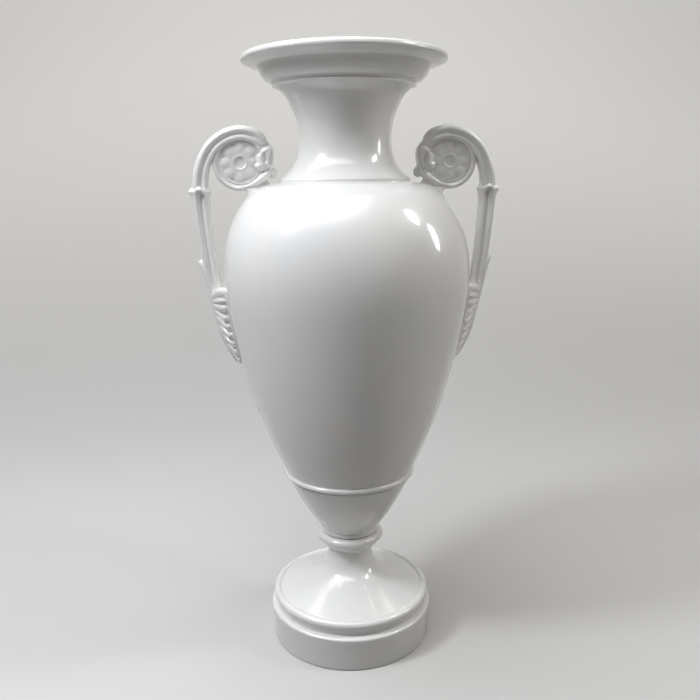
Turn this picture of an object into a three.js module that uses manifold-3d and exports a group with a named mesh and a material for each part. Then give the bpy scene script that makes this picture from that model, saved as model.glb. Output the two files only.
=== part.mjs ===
// Amphora vase of glazed porcelain with two volute handles, built of separate named pieces.
// Millimetres, +Z up. The origin is the middle of the base and the handles lie along X.
// Turned profiles are lists of [radius, height]. A handle is drawn at +X and turned round for the other side.
import * as THREE from "three";
import { mergeVertices } from "three/addons/utils/BufferGeometryUtils.js";
import Module from "manifold-3d";

const wasm = await Module();
wasm.setup();

// Overall sizes
const HEIGHT = 500;
const MOUTH_RADIUS = 81.4;
const BODY_RADIUS = 101.8;
const PLINTH_RADIUS = 72.5;
const WALL = 5;

// Heights of the horizontal joints between the turned pieces
const PLINTH_TOP = 30.6;
const FOOT_TOP = 97.2;
const GASKET_THICKNESS = 0.8;
const BOWL_BOTTOM = FOOT_TOP + GASKET_THICKNESS;
const BOWL_TOP = 158;
const SHOULDER_TOP = 403.5;

// The layer of slip between luted pieces, left open here
const SEAM = 0.3;

// Handle: the disc of the volute with its rosettes, the ball beside it and the leaf at the root
const DISC_X = 85;
const DISC_Z = 419;
const DISC_RADIUS = 22.1;
const DISC_FACE = 2.8;
const ROSETTE_RADIUS = 15.2;
const ROSETTE_PETALS = 8;
const BEAD_X = 59.4;
const BEAD_Z = 410.6;
const BEAD_RADIUS = 3.8;
const RIB_COUNT = 9;
const LEAF_TOP = 320;
const LEAF_TIP = 252.5;
const LEAF_HALF_WIDTH = 25;

// Rod through the foot: an M6 screw with a hexagon head and nut
const ROD_RADIUS = 3;
const HEX_ACROSS_FLATS = 10;
const HEX_HEIGHT = 5;
const ROD_END = 47;
const FOOT_BORE = 7;
const BOWL_BORE = 5.2;
const BOWL_FLOOR = 110.5;
const FOOT_WEB = 60;

// How finely round shapes are cut
const TURNING_STEPS = 24;
const FITTING_STEPS = 16;
const BODY_LINE_STEPS = 15;
const STEM_STEPS = 6;

// Closed shapes

function geometryOf(points, triangles) {
  const geometry = new THREE.BufferGeometry();
  geometry.setAttribute("position", new THREE.Float32BufferAttribute(points, 3));
  geometry.setIndex(triangles);
  return geometry;
}

function signedVolume(geometry) {
  const index = geometry.index.array;
  const corner = [0, 1, 2].map(() => new THREE.Vector3());
  let volume = 0;
  for (let i = 0; i < index.length; i += 3) {
    corner.forEach((point, k) => point.fromBufferAttribute(geometry.attributes.position, index[i + k]));
    volume += corner[0].dot(corner[1].cross(corner[2])) / 6;
  }
  return volume;
}

// Merges the shared points of a closed geometry, drops faces without area and turns the rest outwards.
function closed(geometry) {
  const bare = new THREE.BufferGeometry();
  bare.setAttribute("position", geometry.getAttribute("position").clone());
  bare.setIndex(geometry.index);
  const merged = mergeVertices(bare, 1e-3);
  const corners = Array.from(merged.index.array);
  const faces = [];
  for (let i = 0; i < corners.length; i += 3) {
    const face = corners.slice(i, i + 3);
    if (new Set(face).size === 3) faces.push(...face);
  }
  merged.setIndex(faces);
  if (signedVolume(merged) < 0) merged.setIndex(faces.reverse());
  return merged;
}

// A closed skin over rings that have the same number of points, with a fan over each end.
function skin(rings) {
  const count = rings[0].length;
  const points = rings.flat();
  const triangles = [];
  for (let r = 0; r + 1 < rings.length; r += 1) {
    for (let k = 0; k < count; k += 1) {
      const next = (k + 1) % count;
      const a = r * count + k;
      const b = r * count + next;
      triangles.push(a, b, a + count, b, b + count, a + count);
    }
  }
  [0, rings.length - 1].forEach((r) => {
    const centre = new THREE.Vector3();
    rings[r].forEach((point) => centre.addScaledVector(point, 1 / count));
    const hub = points.push(centre) - 1;
    for (let k = 0; k < count; k += 1) {
      const edge = [r * count + k, r * count + ((k + 1) % count)];
      triangles.push(...(r === 0 ? [edge[1], edge[0]] : edge), hub);
    }
  });
  return closed(geometryOf(points.flatMap((point) => point.toArray()), triangles));
}

function solidOf(geometry) {
  const vertProperties = new Float32Array(geometry.attributes.position.array);
  const triVerts = new Uint32Array(geometry.index.array);
  return new wasm.Manifold(new wasm.Mesh({ numProp: 3, vertProperties, triVerts }));
}

function geometryFrom(solid) {
  const mesh = solid.getMesh();
  return geometryOf(Array.from(mesh.vertProperties), Array.from(mesh.triVerts));
}

// Takes each of the cutters out of a geometry.
function without(geometry, ...cutters) {
  return geometryFrom(cutters.reduce((rest, cutter) => rest.subtract(solidOf(cutter)), solidOf(geometry)));
}

// Turned shapes

// Points of a round or oval moulding about (radius, height), from one angle to another in degrees.
function round(radius, height, size, from, to, steps, rise = size) {
  return Array.from({ length: steps + 1 }, (_, k) => {
    const angle = THREE.MathUtils.degToRad(from + ((to - from) * k) / steps);
    return [radius + size * Math.cos(angle), height + rise * Math.sin(angle)];
  });
}

// Points of a smooth line through a few [radius, height] points.
function flow(points, steps) {
  const line = new THREE.SplineCurve(points.map(([r, z]) => new THREE.Vector2(r, z)));
  return line.getPoints(steps).map((point) => [point.x, point.y]);
}

// A closed profile turned about the Z axis.
function turned(profile, steps = TURNING_STEPS) {
  const loop = [...profile, profile[0]].map(([r, z]) => new THREE.Vector2(r, z));
  return closed(new THREE.LatheGeometry(loop, steps).rotateX(Math.PI / 2));
}

// A disc, washer or ring with square edges between two heights.
function washer(inner, outer, bottom, top, steps = FITTING_STEPS) {
  return turned([[inner, bottom], [outer, bottom], [outer, top], [inner, top]], steps);
}

const NECK_FOOT_RADIUS = 53.1;
const LIP_ROLL = 2.5;

function neckAndMouth() {
  const lipRadius = MOUTH_RADIUS - LIP_ROLL;
  const lipHeight = HEIGHT - LIP_ROLL;
  return turned([
    [46, SHOULDER_TOP],
    [NECK_FOOT_RADIUS, SHOULDER_TOP],
    [NECK_FOOT_RADIUS, 405.3],
    ...flow([
      [51.6, 406.8], [43.5, 415], [38, 429], [37.5, 441],
      [39.4, 452], [43.3, 462], [48.1, 470.4], [54.2, 476],
    ], 8),
    [57.4, 477.4],
    [58.2, 479.6],
    ...flow([[61.2, 481.2], [65, 485], [67.1, 488.6], [67.9, 492.2], [71.4, 495.5]], 4),
    ...round(lipRadius, lipHeight, LIP_ROLL, -80, 90, 3),
    [74.5, 499.6],
    ...flow([[67, 494.5], [50, 477.5], [37.4, 458], [32.4, 438], [36.6, 417], [46, 404.5]], 5),
  ]);
}

// The outer line of the body from its foot to the shoulder, moved outwards by a distance.
function bodyLine(steps, outwards = 0) {
  const points = flow([
    [55.9, BOWL_TOP], [74, 200], [86.2, 240], [95.6, 280], [101.2, 317], [BODY_RADIUS, 330],
    [99.9, 350], [92.3, 375], [82.3, 390], [70.4, 400], [62, 402], [54, SHOULDER_TOP],
  ], steps);
  return points.map(([r, z], k) => {
    const [r0, z0] = points[Math.max(k - 1, 0)];
    const [r1, z1] = points[Math.min(k + 1, points.length - 1)];
    const length = Math.hypot(r1 - r0, z1 - z0);
    return [r + (outwards * (z1 - z0)) / length, z - (outwards * (r1 - r0)) / length];
  });
}

function bodyShell() {
  const inner = bodyLine(8, -WALL).reverse();
  inner[0] = [45, SHOULDER_TOP - WALL];
  inner[inner.length - 1] = [50.5, BOWL_TOP];
  return turned([...bodyLine(BODY_LINE_STEPS), [45, SHOULDER_TOP], ...inner]);
}

function lowerBowl() {
  const beadRadius = 2.3;
  return turned([
    [BOWL_BORE, BOWL_BOTTOM],
    [25.8, BOWL_BOTTOM],
    [26.1, 101],
    [25.6, 101.8],
    ...flow([[28, 106], [37.8, 120], [48.7, 140], [55, 152.3]], 5),
    ...round(55.2, 155.3, beadRadius, -80, 80, 3),
    [55.9, BOWL_TOP],
    [50.5, BOWL_TOP],
    ...flow([[47, 147], [38.6, 130], [26, 112]], 3),
    [22, BOWL_FLOOR],
    [BOWL_BORE, BOWL_FLOOR],
  ]);
}

function foot() {
  return turned([
    [58, PLINTH_TOP],
    [66.8, PLINTH_TOP],
    [66.4, 32.8],
    [68.8, 34.8],
    [69.2, 37.8],
    ...round(67, 41, 3, -50, 140, 3),
    [63.9, 43.1],
    ...flow([[63.3, 43.6], [45.6, 49.9], [30.3, 57.5], [23, 64.8], [20, 74], [19.6, 79.6]], 7),
    [20.3, 82.6],
    [24.7, 86],
    [26.3, 89],
    ...round(24.6, 93, 5.1, -58, 70, 4, 4.1),
    [25.6, FOOT_TOP],
    [FOOT_BORE, FOOT_TOP],
    [FOOT_BORE, FOOT_WEB],
    [18, FOOT_WEB],
    [30, 50.5],
    [52, 39],
  ]);
}

function plinth() {
  return turned([
    [62, 0],
    [70, 0],
    [70.9, 0.9],
    [71.1, 15],
    [72.1, 24],
    ...round(PLINTH_RADIUS - 2, 28.4, 2, 0, 80, 2),
    [69.8, PLINTH_TOP],
    [58, PLINTH_TOP],
    [64.5, 24.5],
    [64.5, 3],
  ]);
}

// Fittings of the joint through the foot

const SEAL_THICKNESS = 2;
const WASHER_THICKNESS = 1.5;
const UPPER_SEAL_RADIUS = 14;
const UPPER_WASHER_RADIUS = 13;
const BASE_SEAL_RADIUS = 16.5;
const BASE_WASHER_RADIUS = 15;
const GASKET_BORE = 9;
const GASKET_RADIUS = 24.6;

function hexPrism(bottom, top) {
  const corner = HEX_ACROSS_FLATS / Math.sqrt(3);
  const prism = new THREE.CylinderGeometry(corner, corner, top - bottom, 6).rotateX(Math.PI / 2);
  return closed(prism.translate(0, 0, (top + bottom) / 2));
}

function tieRod() {
  const headBottom = BOWL_FLOOR + SEAL_THICKNESS + WASHER_THICKNESS;
  const shank = new THREE.CylinderGeometry(ROD_RADIUS, ROD_RADIUS, headBottom - ROD_END + 1, FITTING_STEPS);
  shank.rotateX(Math.PI / 2).translate(0, 0, (headBottom + 1 + ROD_END) / 2);
  const head = solidOf(hexPrism(headBottom, headBottom + HEX_HEIGHT));
  return geometryFrom(head.add(solidOf(closed(shank))));
}

function hexNut() {
  const top = FOOT_WEB - SEAL_THICKNESS - WASHER_THICKNESS;
  const bottom = top - HEX_HEIGHT;
  return without(hexPrism(bottom, top), rodHole(bottom - 1, top + 1));
}

function rodHole(bottom, top) {
  const radius = ROD_RADIUS + SEAM / 2;
  const hole = new THREE.CylinderGeometry(radius, radius, top - bottom, FITTING_STEPS).rotateX(Math.PI / 2);
  return closed(hole.translate(0, 0, (top + bottom) / 2));
}

// Handle: stalks drawn along a line in the XZ plane, each station {x, z, width, depth}

// A stalk's section, in shares of its width and half depth: two rolls, a V flute between.
// The width lies in the handle's plane and the depth across it. The rows are mirrored for the other flank.
const STEM_SECTION = [
  [0.5, 0], [0.43, 0.64], [0.24, 0.92], [0, 0.62], [-0.24, 0.92], [-0.43, 0.64], [-0.5, 0],
];
const ARCH_SECTION = [
  [0.5, 0], [0.46, 0.66], [0.34, 0.96], [0.13, 1], [-0.08, 0.76], [-0.28, 0.97], [-0.44, 0.66], [-0.5, 0],
];
const CURL_SECTION = [[0.5, 0], [0.38, 0.8], [0.14, 1], [-0.08, 0.7], [-0.34, 0.85], [-0.5, 0]];

function outlineOf(section) {
  return [...section, ...section.slice(1, -1).reverse().map(([u, v]) => [u, -v])];
}

function stalk(stations, steps, section, grow = 0) {
  const line = new THREE.CatmullRomCurve3(stations.map(({ x, z }) => new THREE.Vector3(x, 0, z)));
  const sizes = stations.map(({ width, depth }) => new THREE.Vector3(width, depth, 0));
  const size = new THREE.CatmullRomCurve3(sizes);
  const rings = Array.from({ length: steps + 1 }, (_, k) => {
    const t = k / steps;
    const middle = line.getPoint(t);
    const along = line.getTangent(t);
    const { x: width, y: depth } = size.getPoint(t);
    if (k === 0) middle.addScaledVector(along, -grow);
    if (k === steps) middle.addScaledVector(along, grow);
    return outlineOf(section).map(([across, side]) => {
      const u = across * (width + 2 * grow);
      return new THREE.Vector3(middle.x + along.z * u, side * (depth / 2 + grow), middle.z - along.x * u);
    });
  });
  return skin(rings);
}

const STEM_STATIONS = [
  { x: 108.7, z: 306, width: 12, depth: 11 },
  { x: 111.4, z: 327, width: 12.3, depth: 11.4 },
  { x: 113.7, z: 345, width: 12.6, depth: 11.8 },
  { x: 115.5, z: 363, width: 13.2, depth: 12 },
  { x: 117.3, z: 385.7, width: 13.9, depth: 12.6 },
];

function stem(grow = 0) {
  return stalk(STEM_STATIONS, STEM_STEPS, STEM_SECTION, grow);
}

const ARCH_STATIONS = [
  { x: 117.7, z: 396.6, width: 13, depth: 12 },
  { x: 117.4, z: 405, width: 12.8, depth: 12 },
  { x: 115.6, z: 414.8, width: 12.4, depth: 12.4 },
  { x: 112, z: 424, width: 12, depth: 12.8 },
  { x: 105.8, z: 432.6, width: 11.8, depth: 13.4 },
  { x: 96.3, z: 439.3, width: 11.8, depth: 14 },
  { x: 85.2, z: 442.2, width: 12, depth: 14.4 },
  { x: 76, z: 440.9, width: 12, depth: 14.2 },
  { x: 69.6, z: 437.8, width: 11, depth: 13.6 },
  { x: 66.2, z: 433, width: 8.6, depth: 12.2 },
];

function scrollArch(grow = 0) {
  return stalk(ARCH_STATIONS, 14, ARCH_SECTION, grow);
}

// The calyx: the stalk flares into two horns in the handle's plane and rises in a lobe on each flank.
// A row gives a point's share of the width and of the half depth, how far it flares, and how far it rises.
const CALYX_SECTION = [
  [0.5, 0, 2.7, -0.3], [0.43, 0.64, 0.3, 0], [0.24, 0.92, 0.5, 0.9], [0.03, 0.62, 2.6, 3.9],
  [-0.2, 0.92, 0.5, 0.9], [-0.43, 0.64, 0.3, 0], [-0.5, 0, 1.6, -0.3],
];
const CALYX_STATIONS = [
  { x: 117.4, z: 386.1, width: 14, depth: 12.7, open: 0, lift: 0 },
  { x: 117.6, z: 391, width: 14.3, depth: 13.1, open: 0.15, lift: 0 },
  { x: 117.7, z: 394.4, width: 14.5, depth: 13.8, open: 0.5, lift: 0.4 },
  { x: 117.8, z: 397.1, width: 14.6, depth: 14.4, open: 1, lift: 1 },
];

function calyxCollar() {
  const outline = [
    ...CALYX_SECTION,
    ...CALYX_SECTION.slice(1, -1).reverse().map(([across, side, ...rest]) => [across, -side, ...rest]),
  ];
  const ring = ({ x, z, width, depth, open, lift }) => outline.map(([across, side, flare, rise]) => {
    const [u, v] = [across * width, (side * depth) / 2];
    const wider = 1 + (flare * open) / Math.hypot(u, v);
    return new THREE.Vector3(x + u * wider, v * wider, z + rise * lift);
  });
  return without(skin(CALYX_STATIONS.map(ring)), scrollArch(SEAM), stem(SEAM));
}

// The leaf that clasps the outer side of the stalk, from its pointed tip down to the root.
const SHEATH_STATIONS = [
  { x: 111, z: 309, reach: 4.3, half: 5.8, tilt: 0 },
  { x: 112.2, z: 316, reach: 4.5, half: 6.5, tilt: 0 },
  { x: 113.9, z: 325, reach: 4.6, half: 6.8, tilt: 0 },
  { x: 115.6, z: 333, reach: 4.9, half: 6, tilt: 0 },
  { x: 117.2, z: 338.5, reach: 4.9, half: 4.2, tilt: 0 },
  { x: 119, z: 342.2, reach: 3.8, half: 2.2, tilt: 3.4 },
];

function grownSheath(grow = SEAM) {
  const steps = 12;
  return skin(SHEATH_STATIONS.map(({ x, z, reach, half, tilt }, row) =>
    Array.from({ length: steps }, (_, k) => {
      const angle = (2 * Math.PI * k) / steps;
      const u = Math.cos(angle);
      const lift = row === 0 ? -grow : 0;
      const height = z + lift + (tilt * (0.25 - u)) / 1.25;
      return new THREE.Vector3(x + (reach + grow) * u, (half + grow) * Math.sin(angle), height);
    }),
  ));
}

function sheathLeaf() {
  return without(grownSheath(0), stem(SEAM));
}

// The root: a broad leaf on the body. Its ribs run in from the rim and rise beside the midrib.
// A section is given from the rim of the leaf to the midrib: its place across the half width, its share
// of the relief, how much the ribs swell it, and how far the rib has risen there.
const ROOT_SECTION = [
  { across: 1, out: 0.03, swell: 0, risen: 0 },
  { across: 0.92, out: 0.1, swell: 0.1, risen: 0 },
  { across: 0.8, out: 0.18, swell: 1, risen: 0 },
  { across: 0.62, out: 0.32, swell: 0.9, risen: 0 },
  { across: 0.42, out: 0.5, swell: 0.75, risen: 0.1 },
  { across: 0.24, out: 0.71, swell: 0.5, risen: 0.75 },
  { across: 0.13, out: 0.9, swell: 0, risen: 1 },
  { across: 0, out: 1, swell: 0, risen: 1 },
];

// Radius of the body at a height.
function bodyRadius(height) {
  const line = bodyLine(40);
  const k = line.findIndex(([, z]) => z > height);
  const share = (height - line[k - 1][1]) / (line[k][1] - line[k - 1][1]);
  return THREE.MathUtils.lerp(line[k - 1][0], line[k][0], share);
}

// Distance of the midrib's crest from the axis: straight at first, then drawn in towards the tip.
function midrib(height) {
  return 115.9 - 0.238 * (312 - height) - 0.0135 * Math.max(0, 283 - height) ** 1.85;
}

function rootRing(height, bulge, inset = 1) {
  const down = THREE.MathUtils.clamp((LEAF_TOP - height) / (LEAF_TOP - LEAF_TIP), 0, 1);
  const half = (LEAF_HALF_WIDTH * Math.sqrt(1 - down ** 2.2) + 1.2) * inset;
  const rise = down < 0.5 ? 26 * down - 5 : 8 - 9.6 * (down - 0.5);
  const rake = 0.15 + 0.08 * down;
  const side = ROOT_SECTION.map(({ across, out, swell, risen }) => {
    const y = half * across;
    const z = height + rise * risen * Math.min(1, 12 * down) + rake * y;
    const radius = bodyRadius(z);
    const relief = (midrib(z) - radius) * inset;
    return [Math.sqrt(radius ** 2 - y ** 2) + relief * out + bulge * swell, y, z];
  });
  const mirrored = side.slice(0, -1).reverse().map(([x, y, z]) => [x, -y, z]);
  const buried = 0.9 * bodyRadius(height);
  const rimHeight = height + rake * half;
  const back = [[buried, -0.8 * half, rimHeight], [buried, 0.8 * half, rimHeight]];
  return [...side, ...mirrored, ...back].map((point) => new THREE.Vector3(...point));
}

// The inside of the body, grown by a seam, which every piece that lies on the body is cut to.
function bodyCore() {
  return turned([...bodyLine(BODY_LINE_STEPS, SEAM), [20, SHOULDER_TOP], [20, BOWL_TOP]]);
}

function rootLeaf() {
  const pitch = (LEAF_TOP - LEAF_TIP) / (RIB_COUNT + 0.2);
  const rings = [rootRing(LEAF_TOP, -1.6, 0.9)];
  for (let rib = 0; rib < RIB_COUNT; rib += 1) {
    const top = LEAF_TOP - pitch * rib;
    const depth = (2.7 - 1.1 * (rib / RIB_COUNT)) * (rib === 0 ? 0.4 : 1);
    rings.push(rootRing(top - 0.28 * pitch, 0.4 * depth));
    rings.push(rootRing(top - 0.72 * pitch, 0.4 * depth));
    rings.push(rootRing(top - pitch, -0.8 * depth));
  }
  rings.push(rootRing(LEAF_TIP, 0, 0.8));
  return without(skin(rings), bodyCore(), stem(SEAM), grownSheath());
}

// Volute: the moulded disc, its two rosettes, the folded leaf with its ball, and the post below

// Lays a shape that was made about the Z axis on its side, facing along Y, at the disc's centre.
function onDisc(geometry, facing = 1) {
  return geometry.rotateX((-Math.PI / 2) * facing).translate(DISC_X, 0, DISC_Z);
}

function voluteDisc() {
  const side = [
    [0, DISC_FACE],
    [16.8, DISC_FACE],
    [18.4, 3.9],
    [20.2, 4.3],
    [DISC_RADIUS, 1.6],
  ];
  const profile = [...side, ...side.map(([r, h]) => [r, -h]).reverse()];
  const disc = new THREE.LatheGeometry(profile.map(([r, h]) => new THREE.Vector2(r, h)), 20);
  disc.rotateX(Math.PI / 2);
  return without(onDisc(closed(disc)), scrollArch(SEAM), curlLeaf(SEAM));
}

// An eight-petal rosette in low relief round a sunken eye.
function rosette(facing) {
  const relief = [
    { radius: 1, height: 0 },
    { radius: 0.9, height: 1 },
    { radius: 0.72, height: 1.4 },
    { radius: 0.52, height: 0.8 },
    { radius: 0.42, height: 1.2 },
    { radius: 0.28, height: 0.4 },
  ];
  const steps = 3 * ROSETTE_PETALS;
  const rings = relief.map(({ radius, height }) =>
    Array.from({ length: steps }, (_, k) => {
      const angle = (2 * Math.PI * k) / steps;
      const petal = Math.abs(Math.cos((ROSETTE_PETALS / 2) * angle));
      const leafy = radius > 0.5 ? 1 : 0;
      const r = ROSETTE_RADIUS * radius * (1 - 0.12 * leafy * (1 - petal));
      const h = height * (1 - 0.6 * leafy * (1 - petal));
      return new THREE.Vector3(r * Math.cos(angle), r * Math.sin(angle), h);
    }),
  );
  const upright = skin(rings).translate(0, 0, DISC_FACE + SEAM);
  return without(onDisc(upright, facing), curlLeaf(SEAM));
}

const CURL_STATIONS = [
  { x: 67, z: 435.4, width: 9, depth: 12.4 },
  { x: 65.3, z: 430.8, width: 12, depth: 14 },
  { x: 64.7, z: 427, width: 13.6, depth: 15 },
  { x: 64.5, z: 423.4, width: 13.6, depth: 15 },
  { x: 64.5, z: 419.4, width: 12.4, depth: 14.4 },
  { x: 65, z: 415.4, width: 12.6, depth: 14 },
  { x: 65.4, z: 411.6, width: 9, depth: 10 },
  { x: 67.4, z: 408.4, width: 4, depth: 6 },
];

function curlLeaf(grow = 0) {
  return stalk(CURL_STATIONS, 9, CURL_SECTION, grow);
}

function curlBead() {
  const ball = new THREE.SphereGeometry(BEAD_RADIUS, 10, 6).translate(BEAD_X, 0, BEAD_Z);
  return without(closed(ball), curlLeaf(SEAM));
}

const STRUT_DEPTH = 11;
const STRUT_BEVEL = 1.6;

function shoulderStrut() {
  const outline = new THREE.Shape();
  outline.moveTo(60.5, 399);
  outline.quadraticCurveTo(65, 402.5, 64.4, 410.5);
  outline.lineTo(71, 411);
  outline.lineTo(84, 402);
  outline.lineTo(85, 397.6);
  outline.quadraticCurveTo(79.5, 398, 80.6, 391.5);
  outline.lineTo(82.5, 387);
  outline.lineTo(70, 392);
  const post = new THREE.ExtrudeGeometry(outline, {
    depth: STRUT_DEPTH - 2 * STRUT_BEVEL,
    bevelThickness: STRUT_BEVEL,
    bevelSize: STRUT_BEVEL / 2,
    bevelOffset: -STRUT_BEVEL / 2,
    bevelSegments: 2,
    curveSegments: 6,
  });
  post.translate(0, 0, STRUT_BEVEL - STRUT_DEPTH / 2).rotateX(Math.PI / 2);
  const room = DISC_RADIUS + SEAM;
  const hole = new THREE.CylinderGeometry(room, room, 2 * STRUT_DEPTH, 48).rotateX(Math.PI / 2);
  const disc = closed(onDisc(hole));
  return without(closed(post), disc, bodyCore(), curlLeaf(SEAM));
}

// Finishes

const PORCELAIN = new THREE.MeshStandardMaterial({ color: 0xf2f1ee, roughness: 0.12, metalness: 0 });
const STEEL = new THREE.MeshStandardMaterial({ color: 0xa9adb0, roughness: 0.35, metalness: 1 });
const BRASS = new THREE.MeshStandardMaterial({ color: 0xc2a35a, roughness: 0.35, metalness: 1 });
const CORK = new THREE.MeshStandardMaterial({ color: 0xb08a5c, roughness: 0.9, metalness: 0 });
const RUBBER = new THREE.MeshStandardMaterial({ color: 0x3a3836, roughness: 0.8, metalness: 0 });

function piece(name, geometry, material) {
  const mesh = new THREE.Mesh(geometry, material);
  mesh.name = name;
  return mesh;
}

function turnedPieces() {
  return new THREE.Group().add(
    piece("neck_and_mouth", neckAndMouth(), PORCELAIN),
    piece("body_shell", bodyShell(), PORCELAIN),
    piece("lower_bowl", lowerBowl(), PORCELAIN),
    piece("foot", foot(), PORCELAIN),
    piece("plinth", plinth(), PORCELAIN),
  );
}

function fittings() {
  const floor = BOWL_FLOOR;
  const upperWasher = floor + SEAL_THICKNESS;
  const upperTop = upperWasher + WASHER_THICKNESS;
  const baseSeal = FOOT_WEB - SEAL_THICKNESS;
  const baseWasher = baseSeal - WASHER_THICKNESS;
  const clear = ROD_RADIUS + SEAM;
  return new THREE.Group().add(
    piece("tie_rod", tieRod(), BRASS),
    piece("upper_seal", washer(clear, UPPER_SEAL_RADIUS, floor, upperWasher), RUBBER),
    piece("upper_washer", washer(clear, UPPER_WASHER_RADIUS, upperWasher, upperTop), STEEL),
    piece("knop_gasket", washer(GASKET_BORE, GASKET_RADIUS, FOOT_TOP, BOWL_BOTTOM, TURNING_STEPS), CORK),
    piece("base_seal", washer(clear, BASE_SEAL_RADIUS, baseSeal, FOOT_WEB), RUBBER),
    piece("base_washer", washer(clear, BASE_WASHER_RADIUS, baseWasher, baseSeal), STEEL),
    piece("hex_nut", hexNut(), BRASS),
  );
}

function handle(side) {
  const name = (part) => side + "_" + part;
  return new THREE.Group().add(
    piece(name("root_leaf"), rootLeaf(), PORCELAIN),
    piece(name("stem"), stem(), PORCELAIN),
    piece(name("sheath_leaf"), sheathLeaf(), PORCELAIN),
    piece(name("calyx_collar"), calyxCollar(), PORCELAIN),
    piece(name("scroll_arch"), scrollArch(), PORCELAIN),
    piece(name("volute_disc"), voluteDisc(), PORCELAIN),
    piece(name("rosette_front"), rosette(-1), PORCELAIN),
    piece(name("rosette_back"), rosette(1), PORCELAIN),
    piece(name("curl_leaf"), without(curlLeaf(), scrollArch(SEAM)), PORCELAIN),
    piece(name("curl_bead"), curlBead(), PORCELAIN),
    piece(name("shoulder_strut"), shoulderStrut(), PORCELAIN),
  );
}

const rightHandle = handle("right");
const leftHandle = handle("left");
leftHandle.rotation.z = Math.PI;

const vase = new THREE.Group().add(turnedPieces(), fittings(), rightHandle, leftHandle);

export default vase;
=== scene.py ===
"""Looks of the porcelain amphora vase: glazed turned members, two volute handles and the rod fittings.

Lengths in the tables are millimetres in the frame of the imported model: +Z up, handles along X.
"""

import logging
import math
from dataclasses import dataclass, replace
from enum import Enum
from typing import Callable, Sequence

import bmesh
import bpy
import numpy as np
from mathutils import Matrix, Vector

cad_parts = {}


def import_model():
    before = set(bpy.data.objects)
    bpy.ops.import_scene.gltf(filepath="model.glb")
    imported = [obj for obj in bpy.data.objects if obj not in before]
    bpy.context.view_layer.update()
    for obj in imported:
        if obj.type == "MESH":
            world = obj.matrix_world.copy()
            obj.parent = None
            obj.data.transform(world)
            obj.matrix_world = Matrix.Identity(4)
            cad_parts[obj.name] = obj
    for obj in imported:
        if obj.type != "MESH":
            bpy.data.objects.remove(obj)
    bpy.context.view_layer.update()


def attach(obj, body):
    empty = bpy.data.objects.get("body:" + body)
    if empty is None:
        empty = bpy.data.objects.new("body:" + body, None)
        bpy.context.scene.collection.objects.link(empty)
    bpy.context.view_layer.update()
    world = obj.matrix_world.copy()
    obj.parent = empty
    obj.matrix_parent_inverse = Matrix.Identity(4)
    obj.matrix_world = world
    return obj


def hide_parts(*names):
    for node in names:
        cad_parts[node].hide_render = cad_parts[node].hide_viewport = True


LOG = logging.getLogger("amphora")
MM = 0.001
ROOT_BODY = "root"


class Slot(Enum):
    """The record's material slots."""

    PORCELAIN = "porcelain"
    BRASS = "brass"
    STEEL = "steel"
    CORK = "cork"
    RUBBER = "rubber"


class Side(Enum):
    """The two handles, with the direction of X that each stands on."""

    RIGHT = 1
    LEFT = -1


# Colours and shader nodes


def linear(hex_colour: str) -> tuple[float, float, float, float]:
    """Turns an sRGB hex colour into the linear colour that shaders take.

    Args:
        hex_colour: Six hex digits after a hash sign.

    Returns:
        Red, green, blue and an alpha of one.
    """
    values = [int(hex_colour[k : k + 2], 16) / 255 for k in (1, 3, 5)]
    red, green, blue = (v / 12.92 if v <= 0.04045 else ((v + 0.055) / 1.055) ** 2.4 for v in values)
    return (red, green, blue, 1.0)


def add_node(tree: bpy.types.NodeTree, kind: str, inputs: dict | None = None, **settings) -> bpy.types.Node:
    """Adds a shader node, sets its properties and fills or links its inputs.

    Args:
        tree: The material's node tree.
        kind: The node's type name.
        inputs: Input name or number to a value or to another node's output.
        settings: Properties of the node itself.

    Returns:
        The new node.
    """
    node = tree.nodes.new(kind)
    for name, value in settings.items():
        setattr(node, name, value)
    for key, value in (inputs or {}).items():
        if isinstance(value, bpy.types.NodeSocket):
            tree.links.new(value, node.inputs[key])
        else:
            node.inputs[key].default_value = value
    return node


def ramp(tree: bpy.types.NodeTree, source: bpy.types.NodeSocket, stops: Sequence[tuple]) -> bpy.types.NodeSocket:
    """Adds a colour ramp over a value.

    Args:
        tree: The material's node tree.
        source: The value that drives the ramp.
        stops: Pairs of place and linear colour, in order.

    Returns:
        The ramp's colour output.
    """
    node = add_node(tree, "ShaderNodeValToRGB", {"Fac": source})
    elements = node.color_ramp.elements
    for place, colour in stops[1:-1]:
        elements.new(place).color = colour
    for element, (place, colour) in zip(elements, stops):
        element.position = place
        element.color = colour
    return node.outputs["Color"]


def new_material(name: str) -> tuple[bpy.types.Material, bpy.types.NodeTree, bpy.types.Node]:
    """Starts a node material.

    Args:
        name: The material's name.

    Returns:
        The material, its tree and its Principled shader.
    """
    material = bpy.data.materials.new(name)
    material.use_nodes = True
    tree = material.node_tree
    shader = next(node for node in tree.nodes if node.type == "BSDF_PRINCIPLED")
    return material, tree, shader


def object_noise(tree: bpy.types.NodeTree, size_mm: float, detail: float = 3.0) -> bpy.types.NodeSocket:
    """Adds noise on object coordinates.

    Args:
        tree: The material's node tree.
        size_mm: The size of one blotch.
        detail: Octaves of the noise.

    Returns:
        The noise's value output.
    """
    place = add_node(tree, "ShaderNodeTexCoord").outputs["Object"]
    scale = 1 / (size_mm * MM)
    noise = add_node(tree, "ShaderNodeTexNoise", {"Vector": place, "Scale": scale, "Detail": detail})
    return noise.outputs["Fac"]


# Finishes, one small class for each real material


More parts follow.
